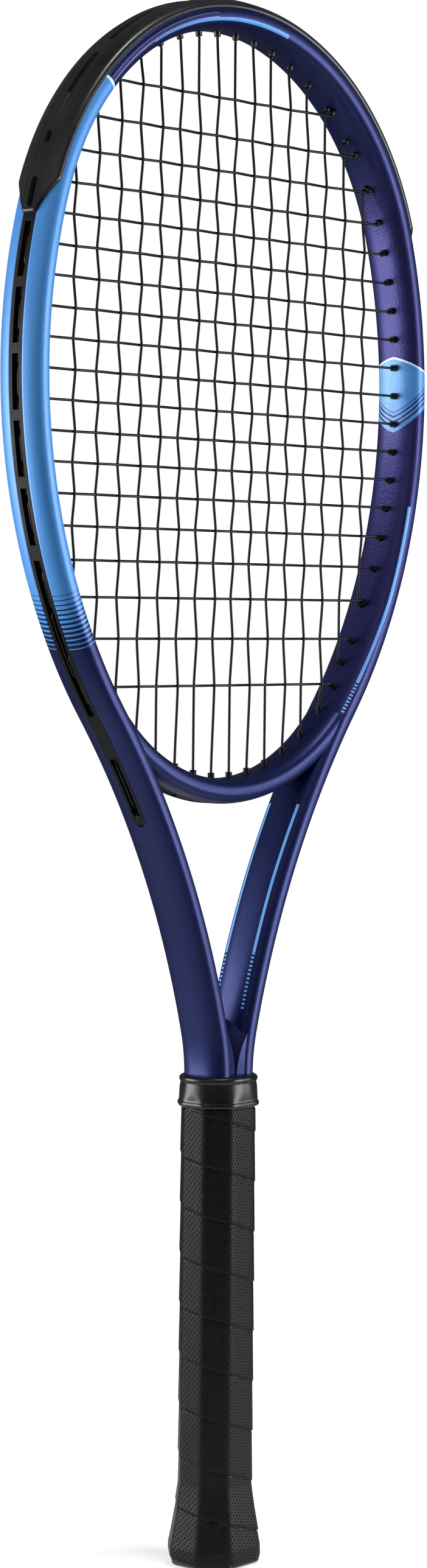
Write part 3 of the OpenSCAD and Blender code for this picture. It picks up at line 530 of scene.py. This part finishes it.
V_COLS = [deg(PHI_G) + (360 - 2 * deg(PHI_G)) * i / ROUND_COLS for i in range(ROUND_COLS + 1)]
V_COLS += [360 - deg(PHI_G) + 2 * deg(PHI_G) * (i + 0.5) / GROOVE_COLS for i in range(GROOVE_COLS)]
V_COLS.append(360 + deg(PHI_G))


def frame_rows():
    """Runs of the sections, closer together where the groove ends."""
    end = S_SHAFT + SHAFT_Z - GRIP_TOP
    count = int(end / 1.8)
    half = [end * i / count for i in range(count + 1)]
    half += [GROOVE_END - e for e in (3.3, 2.9, 2.4, 1.6, 1.2, 0.8, 0.5, 0.25, 0.1, 0.03, -0.02)]
    half.sort()
    return [-s for s in reversed(half[1:])] + half


def frame_shell():
    stops = frame_rows()
    rows = [tube_ring(s, abs(s) < GROOVE_END) for s in stops]
    return skin("frame_shell", rows, stops, V_COLS, caps=True, sharp=32.0, mat=PAINT)


hoop = frame_shell()


# ---------------------------------------------------------------- bridge and fork
def throat_arch():
    last, strip_end, n = 45.0, 27.6, 150            # degrees each side of the middle, and rows
    round_cols, groove_cols = 52, 5
    angles = sorted([-last + 2 * last * i / n for i in range(n + 1)]
                    + [k * (strip_end + e) for k in (-1, 1) for e in (-0.02, 0.02)])
    rows = []
    for a in angles:
        sa, ca = math.sin(rad(a)), math.cos(rad(a))
        grow = smooth(abs(a), 32, 45)
        ha, hb = BRIDGE_T / 2 + 0.3 * grow, BRIDGE_D / 2 + 0.4 * grow
        mid = BRIDGE_R + ha
        g = math.asin((EDGE / hb) ** (1 / LOBE))
        pts = [lobe(ha, hb, g + (2 * math.pi - 2 * g) * i / round_cols) for i in range(round_cols + 1)]
        if abs(a) < strip_end:
            d, floor = pts[0][0], ha - GROOVE_D + 0.25
            pts += [(d - 0.3, -EDGE), (floor, -EDGE), (floor, 0.0), (floor, EDGE), (d - 0.3, EDGE)]
        else:
            pts += [lobe(ha, hb, -g + 2 * g * (i + 0.5) / groove_cols) for i in range(groove_cols)]
        rows.append([((mid + d) * sa, y, BRIDGE_C[1] - (mid + d) * ca) for d, y in pts])
    cols = len(rows[0])
    vs = [360 * i / cols for i in range(cols + 1)]
    return skin("throat_arch", rows, angles, vs, caps=True, sharp=32.0, mat=NAVY_PAINT)


bridge = throat_arch()


def fork_web():
    """Web between the two tubes, with a groove that deepens into the crotch of the fork."""
    low, crotch, top, n, m = GRIP_TOP, 237.5, 243.0, 68, 56
    over, inset = 1.25, 3.1                         # it runs into the tubes, past the place where it meets them
    deep, dip = 11.1, 1.3                           # half its depth at the tubes, and less in the middle

    def reach(z):
        if z < SHAFT_Z:
            x = SHAFT_X
        else:
            x = SHAFT_X + ROOT_R - math.sqrt(ROOT_R ** 2 - (z - SHAFT_Z) ** 2)
        return x - inset

    def half(u, z):
        sink = ((z - low) / (crotch - low)) ** 2.6
        g = u ** 1.2 + 1 - sink
        return max(0.0, deep * max(0.0, min(1.0, g)) ** 0.5 - dip * (1 - u))

    verts, faces = [], []
    for face_side in (-1, 1):
        start = len(verts)
        for i in range(n + 1):
            z = low + (top - low) * i / n
            for j in range(m + 1):
                u = -over + 2 * over * j / m
                verts.append((u * reach(z), face_side * half(min(1.0, abs(u)), z), z))
        for i in range(n):
            for j in range(m):
                q = start + i * (m + 1) + j
                quad = (q, q + 1, q + m + 2, q + m + 1)
                if max(abs(verts[k][1]) for k in quad) > 0:
                    faces.append(quad)
    return new_object("fork_web", verts, faces, sharp=50.0, mat=NAVY_PAINT)


web = fork_web()


# ---------------------------------------------------------------- strings
def main_x(k):
    """Distance of main k from the middle. The spacing opens outward."""
    u = k - 0.5
    return (WIDE_X - TUBE_T / 2) * (0.0996 * u + 0.00013 * u ** 3)


HEAD_TOP = TOP_C[1] + TOP_R - TUBE_T / 2
HEAD_H = HEAD_TOP - (BRIDGE_C[1] - BRIDGE_R)


def cross_z(j):
    """Height of cross j, counted from the top. The spacing opens towards both ends."""
    v = 10 - j
    s = abs(v) / 9
    return WIDE_Z + HEAD_H * (0.0395 * v + (0.0235 * s ** 6 if v > 0 else -0.053 * s ** 5))


def cross_turn(j):
    """Turn at which cross j meets the hoop."""
    z = cross_z(j)
    s = (z - TOP_C[1]) / (TOP_R + LEAD_D)
    if s > math.sin(rad(SIDE_TURN)):
        return deg(math.acos(s))
    return 90 - deg(math.asin((z - WIDE_Z) / (SIDE_R + LEAD_D)))


# Turns at which the strings meet the hoop: mains at the top, crosses, and the outer mains below
TOP_TURNS = [deg(math.asin(main_x(k) / (TOP_R + LEAD_D))) for k in range(1, MAINS + 1)]
CROSS_TURNS = [cross_turn(j) for j in range(1, CROSSES + 1)]
LOW_TURNS = [90 + deg(math.acos((main_x(k) - SIDE_C[0]) / (SIDE_R + LEAD_D)))
             for k in range(ARM_MAINS + 1, MAINS + 1)]


def arm_turn(k, d):
    """Turn at which main k meets the arm, d mm outside its centre line."""
    return T_ARM + LEAN - deg(math.acos((ARM_C[0] - main_x(k)) / (ARM_R - d)))


def low_z(k, r):
    """Height at which main k meets the arc of radius r about the bridge's centre."""
    return BRIDGE_C[1] - math.sqrt(r * r - main_x(k) ** 2)


def rim3(side, turn, d, y):
    x, z = rim(turn, d)
    return (side * x, y, z)


def loop_pts(side, a, b, y):
    """Run outside the hoop from one hole to the next. A turn below 0 is on the other side."""
    n = 4
    step = deg(BEND / TOP_R) * (1 if b > a else -1)
    pa, pb = a + step, b - step
    turns = [pa + (pb - pa) * i / n for i in range(n + 1)]
    return [rim3(-side if t < 0 else side, abs(t), LOOP_D, y) for t in turns]


def end_pts(side, turn, y):
    """Through the hoop, from inside to outside."""
    return [rim3(side, turn, LEAD_D, y), rim3(side, turn, LOOP_D - BEND, y)]


def upright(side, k, z_mouth, z_out):
    """Straight down through the bridge or the arm."""
    return [(side * main_x(k), LANE, z_mouth + LEAD), (side * main_x(k), LANE, z_out + BEND)]


def top_end(side, k):
    return end_pts(side, TOP_TURNS[k - 1], LANE)


def low_end(side, k):
    if k > ARM_MAINS:
        return end_pts(side, LOW_TURNS[k - ARM_MAINS - 1], LANE)
    mouth = low_z(k, BRIDGE_R) + BARREL_TIP
    if k > BRIDGE_MAINS:
        return upright(side, k, mouth, rim(arm_turn(k, LOOP_D), LOOP_D)[1])
    return upright(side, k, mouth, low_z(k, BRIDGE_R + BRIDGE_T / 2 + LOOP_D))


def meets(k, j):
    """Whether main k crosses cross j inside the hoop."""
    return low_end(1, k)[0][2] + 1 < cross_z(j) < top_end(1, k)[0][2] - 1


def near_mouth(k, j):
    """Whether a crossing is so near a hole that the strings keep to their lanes."""
    z = cross_z(j)
    gaps = (rim(CROSS_TURNS[j - 1], LEAD_D)[0] - main_x(k), top_end(1, k)[0][2] - z, z - low_end(1, k)[0][2])
    return min(gaps) < 6


def over_under(side, k, j):
    """1 where the main passes behind the cross, -1 where it passes in front."""
    if near_mouth(k, j):
        return 1
    return -1 if (MAINS + (k if side > 0 else 1 - k) + j) % 2 == 1 else 1


def main_down(side, k):
    """One main from top to bottom."""
    mid = [(side * main_x(k), WEAVE * over_under(side, k, j), cross_z(j))
           for j in range(1, CROSSES + 1) if meets(k, j)]
    return top_end(side, k)[::-1] + mid + low_end(side, k)


def bridge_loop(side, ka, kb):
    """Run under the bridge from one hole to the next."""
    r = BRIDGE_R + BRIDGE_T / 2 + LOOP_D
    a, b = math.asin(main_x(ka) / r), math.asin(main_x(kb) / r)
    step = BEND / r
    out = []
    for i in range(4):
        t = a + step + (b - a - 2 * step) * i / 3
        out.append((side * r * math.sin(t), LANE, BRIDGE_C[1] - r * math.cos(t)))
    return out


def low_loop(side, k):
    if k < BRIDGE_MAINS:
        return bridge_loop(side, k, k + 1)
    if k < ARM_MAINS:
        return loop_pts(side, arm_turn(k, LOOP_D), arm_turn(k + 1, LOOP_D), LANE)
    return loop_pts(side, LOW_TURNS[0], LOW_TURNS[1], LANE)


def main_half(side):
    """All mains on one side, from the middle outward."""
    out, tail = [], 6.0                             # the tail is a last turn along the hoop
    after = TOP_TURNS + [TOP_TURNS[-1] + tail]
    for k in range(1, MAINS + 1):
        if k % 2 == 1:
            out += main_down(side, k) + low_loop(side, k)
        else:
            out += main_down(side, k)[::-1] + loop_pts(side, TOP_TURNS[k - 1], after[k], LANE)
    return out


def main_path():
    return main_half(-1)[::-1] + loop_pts(1, -TOP_TURNS[0], TOP_TURNS[0], LANE) + main_half(1)


def cross_across(j):
    """One cross from right to left."""
    ks = [k for k in range(MAINS, 0, -1) if meets(k, j)]

    def half(side):
        return [(side * main_x(k), -WEAVE * over_under(side, k, j), cross_z(j)) for k in ks]

    turn = CROSS_TURNS[j - 1]
    return end_pts(1, turn, -LANE)[::-1] + half(1) + half(-1)[::-1] + end_pts(-1, turn, -LANE)


def cross_path():
    tail = 2.4                                      # turn along the hoop at each end
    after = CROSS_TURNS + [CROSS_TURNS[-1] + tail]
    out = loop_pts(-1, CROSS_TURNS[0] + tail, CROSS_TURNS[0], -LANE)
    for j in range(1, CROSSES + 1):
        if j % 2 == 1:
            out += cross_across(j)[::-1] + loop_pts(1, CROSS_TURNS[j - 1], after[j], -LANE)
        else:
            out += cross_across(j) + loop_pts(-1, CROSS_TURNS[j - 1], after[j], -LANE)
    return out


def soften(path):
    """Points between the crossings, so that the string bends over its neighbours."""
    out = [path[0]]
    for a, b in zip(path, path[1:]):
        if math.dist(a, b) > 5:
            for f in (0.14, 0.32, 0.5, 0.68, 0.86):
                e = 0.35 * (f * f * (3 - 2 * f)) + 0.65 * f
                out.append((a[0] + (b[0] - a[0]) * f, a[1] + (b[1] - a[1]) * e, a[2] + (b[2] - a[2]) * f))
        out.append(b)
    return out


def string(name, path):
    curve = bpy.data.curves.new(name, "CURVE")
    curve.dimensions = "3D"
    curve.bevel_depth = STRING_R * MM
    curve.bevel_resolution = 3
    curve.use_fill_caps = True
    pts = soften(path)
    spline = curve.splines.new("POLY")
    spline.points.add(len(pts) - 1)
    for p, q in zip(spline.points, pts):
        p.co = (q[0] * MM, q[1] * MM, q[2] * MM, 1.0)
    spline.use_smooth = True
    curve.materials.append(STRING)
    return link(bpy.data.objects.new(name, curve))


mains = string("string_mains", main_path())
crosses = string("string_crosses", cross_path())

# ---------------------------------------------------------------- head guard
GUARD_EDGE, GUARD_TIP, GUARD_HALF = 153.0, 168.0, 11.0     # where its edges and tips end, and half its width
SLOT_HALF, SLOT_PAST = 1.1, 2.4                            # half a slot's width, and how far it passes a hole
PINCH = (113.0, 132.0)                                     # shallow groove between two slots
SLOTS = [(turn_s(TOP_TURNS[1]) - SLOT_PAST, turn_s(TOP_TURNS[2]) + SLOT_PAST),
         (turn_s(TOP_TURNS[3]) - SLOT_PAST, 78.5), (88.0, PINCH[0]), (PINCH[1], 138.3), (152.5, 166.0)]


def slot_depth(s, y):
    """How far open the guard is at this place, 0 to 1."""
    lo = turn_s(TOP_TURNS[0]) + SLOT_PAST
    for a, b in [(-lo, lo)] + SLOTS:
        q = s if a < 0 else abs(s)
        if a < q < b:
            end = min(q - a, b - q)
            half = SLOT_HALF * math.sqrt(1 - max(0.0, (SLOT_HALF - end) / SLOT_HALF) ** 2)
            if abs(y) < half:
                return smooth(half - abs(y), 0.0, 0.35)
    if PINCH[0] < abs(s) < PINCH[1] and abs(y) < 0.8:
        return 0.3
    return 0.0


def round_off(gap, size):
    """Rises from 0 at an edge to 1 where the gap to it is size."""
    return math.sqrt(max(0.0, min(1.0, gap / size)))


def guard_point(i, n, y):
    """Point of the guard's outer face: i of n along its run, y mm from its middle line."""
    flat = 3.5                                      # half the width of its square tip
    thin, thick, deep = 0.08, 1.62, 2.6             # at its rim, more inside that, and into a slot
    a, b = TUBE_T / 2, TUBE_D / 2
    reach = abs(y)
    cut = max(0.0, (reach - flat) / (GUARD_HALF - flat)) ** 0.9
    end = GUARD_TIP - (GUARD_TIP - GUARD_EDGE) * cut
    s = end * i / n
    (cx, cz), (nx, nz) = along(abs(s))
    side = -1 if s < 0 else 1
    ang = math.asin((reach / b) ** (1 / LOBE))
    nd, ny = math.cos(ang) ** (1 / LOBE) / a, math.sin(ang) ** (1 / LOBE) / b
    m = math.hypot(nd, ny)
    to_end = end - abs(s)
    edge = round_off(GUARD_HALF - reach, 1.1) * round_off(to_end + 0.02, 1.4)
    channel = 0.35 * smooth(4.75 - reach, 0.0, 0.3) * smooth(to_end, 0.5, 2.0)
    ridge = 0.25 * smooth(reach, 4.6, 5.0) * smooth(6.2 - reach, 0.0, 0.8)
    t = thin + thick * edge + ridge * edge - channel - deep * slot_depth(s, y)
    d = a * math.cos(ang) ** LOBE + t * nd / m
    return side * (cx + d * nx), math.copysign(reach + t * ny / m, y), cz + d * nz


def head_guard():
    ys = [-11.0, -10.9, -10.6, -10.0, -9.2, -8.4, -7.6, -6.8, -6.0, -5.2, -4.9, -4.6, -4.3, -3.6, -2.8, -2.1,
          -1.8, -1.5, -0.8]
    ys = ys + [0.0] + [-y for y in reversed(ys)]
    n = 420
    rows = [[guard_point(i, n, y) for y in ys] for i in range(-n, n + 1)]
    us = [170.0 * i / n for i in range(-n, n + 1)]
    return skin("head_guard", rows, us, ys, closed=False, sharp=48.0, mat=GUARD)


bumper = head_guard()


def guard_barrels():
    """Grommet barrels that come out of the inner face under the guard."""
    # it covers the holes of four crosses on the right and of five on the left
    places = [(side, turn, LANE) for side in (-1, 1) for turn in TOP_TURNS]
    places += [(1, turn, -LANE) for turn in CROSS_TURNS[:4]] + [(-1, turn, -LANE) for turn in CROSS_TURNS[:5]]
    # outward place and radius, down the outside, round the mouth and up the hole
    shape = [(-2.5, 1.5), (-7.6, 1.5), (-8.0, 1.36), (-8.2, 1.15), (-8.2, 0.9), (-8.0, 0.78), (-5.0, 0.72)]
    verts, faces, m = [], [], 20
    for side, turn, y0 in places:
        (cx, cz), (nx, nz) = along(turn_s(turn))
        start = len(verts)
        for d, r in shape:
            for j in range(m):
                a = 2 * math.pi * j / m
                u, y = r * math.cos(a), y0 + r * math.sin(a)
                verts.append((side * (cx + d * nx + u * nz), y, cz + d * nz - u * nx))
        for i in range(len(shape) - 1):
            low, high = start + i * m, start + (i + 1) * m
            for j in range(m):
                k = (j + 1) % m
                faces.append((low + j, low + k, high + k, high + j))
    return new_object("guard_barrels", verts, faces, sharp=50.0, mat=GUARD)


barrels = guard_barrels()

# ---------------------------------------------------------------- grip
def octagon(w, d, b, r):
    """Octagon w by d with bevels b and corners of about radius r."""
    per = 4                                         # steps round a corner
    corners = [(w / 2, -d / 2 + b), (w / 2, d / 2 - b), (w / 2 - b, d / 2), (b - w / 2, d / 2),
               (-w / 2, d / 2 - b), (-w / 2, b - d / 2), (b - w / 2, -d / 2), (w / 2 - b, -d / 2)]
    pts = []
    turn = math.tan(rad(22.5))
    for i in range(8):
        a, c, e = Vector(corners[i - 1]), Vector(corners[i]), Vector(corners[(i + 1) % 8])
        u, v = (a - c), (e - c)
        cut = min(r * turn, u.length * 0.45, v.length * 0.45)
        p, q = c + u.normalized() * cut, c + v.normalized() * cut
        for k in range(per + 1):
            f = k / per
            pts.append((p * (1 - f) ** 2 + c * 2 * f * (1 - f) + q * f * f)[:])
        nxt = e - v.normalized() * min(r * turn, v.length * 0.45)
        for f in (0.2, 0.4, 0.6, 0.8):
            pts.append((q * (1 - f) + nxt * f)[:])
    return pts


def flare(z):
    """How much broader the grip is at this height than in its middle."""
    full = 8.0                                      # below this height it keeps its full width
    return 1 + FLARE_GAIN * (max(0.0, FLARE_H - max(z, full)) / (FLARE_H - full)) ** 1.2


def wound_grip():
    """Strip wound up the handle. Each turn laps over the one below, so its lower edge stands proud."""
    lap_z = 196.6                                   # height of the top lap on the front
    z = GRIP_LOW
    zs = []
    while z < GRIP_TOP - 0.2:
        zs.append(z)
        z += 0.45
    base = octagon(GRIP_W, GRIP_D, GRIP_B, 5.0)
    n = len(base)
    run = [0.0]
    for i in range(n):
        run.append(run[-1] + math.dist(base[i], base[(i + 1) % n]))
    total = run[-1]
    front = min(range(n), key=lambda i: math.dist(base[i], (0.0, -GRIP_D / 2)))
    rows = []
    for z in zs:
        f = flare(z) * (0.955 + 0.045 * math.sqrt(smooth(z, 1.0, 4.5)))
        narrow = 0.035 * smooth(z, 203.6, COLLAR_LOW)   # so that it goes under the collar's lip
        row = []
        for i, (x, y) in enumerate(base):
            turn = (run[i] - run[front]) / total
            turn += 0.07 * math.sin(2 * math.pi * turn)
            zed = (z - lap_z + TAPE_TURN * turn) / TAPE_TURN
            frac = zed - math.floor(zed)
            lift = 0.30 - 0.42 * frac - 0.5 * smooth(frac, 0.975, 1.0) - 0.32 * (1 - smooth(frac, 0.0, 0.02))
            g = 1 + lift / 16.0 - narrow
            row.append((x * f * g, y * f * g, z))
        rows.append(row)
    verts = [p for r in rows for p in r]
    faces, uvs = [], []

    def lay(j, i):
        return run[j], zs[i] + TAPE_TURN * run[j] / total

    for i in range(len(zs) - 1):
        for j in range(n):
            k = (j + 1) % n
            faces.append((i * n + j, i * n + k, (i + 1) * n + k, (i + 1) * n + j))
            uvs.append((lay(j, i), lay(j + 1, i), lay(j + 1, i + 1), lay(j, i + 1)))
    return new_object("wound_grip", verts, faces, uvs, sharp=60.0, mat=LEATHER)


wrap = wound_grip()


# ---------------------------------------------------------------- collar
def soft_collar():
    # height above its lower edge, and how far it stands out there
    shape = [(-0.2, -1.6), (0.0, -0.4), (0.5, 0.15), (1.3, 0.35), (2.1, 0.2), (2.6, -0.2), (3.2, -0.15),
             (6.0, 0.1), (9.0, 0.05), (10.6, -0.3), (11.1, -0.2), (11.8, 0.15), (12.7, 0.2), (13.4, -0.1),
             (13.9, -0.8), (14.0, -1.6), (13.6, -2.6)]
    lip_h, inside = 5.0, (13.2, 5.4)                # the shape is tighter below lip_h
    rows = []
    for h, g in shape:
        bevel, radius = (0.3, 8.0) if h < lip_h else (0.8, 14.0)
        pts = octagon(COLLAR_W + 2 * g, COLLAR_D + 2 * g, GRIP_B + bevel, radius)
        rows.append([(x, y, COLLAR_LOW + h) for x, y in pts])
    hole = octagon(29.0, 25.4, 4.0, 6.0)
    rows += [[(x, y, COLLAR_LOW + h) for x, y in hole] for h in inside]
    us = [h for h, _ in shape] + list(inside)
    ob = skin("soft_collar", rows, us, list(range(len(hole) + 1)), sharp=60.0, mat=RUBBER)
    sub = ob.modifiers.new("round", "SUBSURF")
    sub.levels = sub.render_levels = 1
    return ob


ring = soft_collar()

# ---------------------------------------------------------------- what rides on what
for piece, body, nodes, slot in (
        (hoop, "racket", ("frame_hairpin",), "painted_frame"),
        (bridge, "racket", ("throat_bridge",), "painted_frame"),
        (web, "racket", (), "painted_frame"),
        (mains, "racket", ("main_string",), "string"),
        (crosses, "racket", ("cross_string",), "string"),
        (bumper, "racket", ("bumper_guard",), "guard_plastic"),
        (barrels, "racket", (), "guard_plastic"),
        (wrap, "racket", ("base_grip",), "grip_leather"),
        (ring, "collar", ("rubber_collar",), "collar_rubber")):
    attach(piece, body)
    if nodes:
        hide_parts(*nodes)


# ---------------------------------------------------------------- stage, light, camera
def stage_floor():
    nt = Nodes("floor_pale")
    vector, (x, y, _) = nt.place()
    tone = nt.noise(vector, 6.0, 3.0)
    far = nt.math("SQRT", nt.math("ADD", nt.math("MULTIPLY", x, x), nt.math("MULTIPLY", y, y)))
    pale = nt.mix(nt.ramp(tone, 0.3, 0.7, 0.0, 1.0), (0.90, 0.90, 0.90), (0.93, 0.93, 0.93))
    mat = nt.set(color=pale, rough=0.7, glow=(1.0, 1.0, 1.0), glow_strength=0.45,
                 alpha=nt.flip(nt.step(far, 0.2, 0.6)))
    n, radius, low = 64, 1000.0, -0.4               # just under the butt, so that the two don't share a plane
    turns = [2 * math.pi * i / n for i in range(n)]
    verts = [(0.0, 0.0, low)] + [(radius * math.cos(t), radius * math.sin(t), low) for t in turns]
    faces = [(0, 1 + i, 1 + (i + 1) % n) for i in range(n)]
    return new_object("floor", verts, faces, mat=mat)


def stage_dome():
    """White backdrop that only the camera sees, so it lights nothing."""
    mesh = bpy.data.meshes.new("backdrop")
    bm = bmesh.new()
    bmesh.ops.create_icosphere(bm, subdivisions=4, radius=7.0)
    bm.to_mesh(mesh)
    bm.free()
    mat = bpy.data.materials.new("backdrop_white")
    mat.use_nodes = True
    tree = mat.node_tree
    tree.nodes.clear()
    out = tree.nodes.new("ShaderNodeOutputMaterial")
    glow = tree.nodes.new("ShaderNodeEmission")
    glow.inputs[0].default_value = (1.0, 1.0, 1.0, 1.0)
    glow.inputs[1].default_value = 1.0
    tree.links.new(glow.outputs[0], out.inputs[0])
    mesh.materials.append(mat)
    ob = link(bpy.data.objects.new("backdrop", mesh))
    ob.visible_diffuse = ob.visible_glossy = ob.visible_transmission = False
    ob.visible_volume_scatter = ob.visible_shadow = False
    return ob


stage_floor()
stage_dome()

world = bpy.data.worlds.new("studio")
world.use_nodes = True
sky = world.node_tree.nodes["Background"]
sky.inputs[0].default_value = (0.93, 0.95, 1.0, 1.0)
sky.inputs[1].default_value = 0.08
bpy.context.scene.world = world


def stage_camera():
    """Camera at the photo's angle: turned by yaw about Z, then tipped, then rolled."""
    place, lens, yaw, tip, roll = Vector((-1.2554, -1.0490, 0.4240)), 84.7, rad(50), -0.046405, 0.009
    ahead = Vector((math.sin(yaw) * math.cos(tip), math.cos(yaw) * math.cos(tip), math.sin(tip)))
    level = Vector((math.cos(yaw), -math.sin(yaw), 0.0))
    above = level.cross(ahead)
    right = level * math.cos(roll) + above * math.sin(roll)
    up = above * math.cos(roll) - level * math.sin(roll)
    cam = bpy.data.cameras.new("camera")
    cam.sensor_width, cam.lens = 36.0, lens
    cam.clip_start, cam.clip_end = 0.05, 30.0
    ob = link(bpy.data.objects.new("camera", cam))
    ob.matrix_world = Matrix.Translation(place) @ Matrix((right, up, -ahead)).transposed().to_4x4()
    return ob


bpy.context.scene.camera = stage_camera()


def panel(name, way, distance, height, size, power, aim=(0.0, 0.0, 0.38)):
    """Soft light, distance metres out along way and height metres up, turned to aim."""
    light = bpy.data.lights.new(name, "AREA")
    light.shape = "RECTANGLE"
    light.size, light.size_y = size
    light.energy = power
    ob = link(bpy.data.objects.new(name, light))
    ob.location = way.normalized() * distance + Vector((0, 0, height))
    ob.rotation_euler = (Vector(aim) - ob.location).to_track_quat("-Z", "Y").to_euler()


TO_CAMERA, TO_RIGHT = Vector((-0.766, -0.643, 0.0)), Vector((0.643, -0.766, 0.0))
panel("light_left", TO_CAMERA * 0.10 - TO_RIGHT, 1.3, 0.36, (0.8, 0.85), 25.0)
panel("light_right", TO_CAMERA * 0.12 + TO_RIGHT, 1.3, 0.38, (0.7, 0.9), 23.0)
panel("light_top", TO_CAMERA * 0.4 - TO_RIGHT * 0.2, 0.8, 0.9, (0.7, 0.9), 1.5)
panel("light_brow", Vector((0.02, -1.0, 0.0)), 0.41, 1.68, (0.42, 0.3), 9.0, (-0.08, 0.0, 0.66))

bpy.context.scene.view_settings.view_transform = "Standard"
bpy.context.scene.view_settings.look = "None"
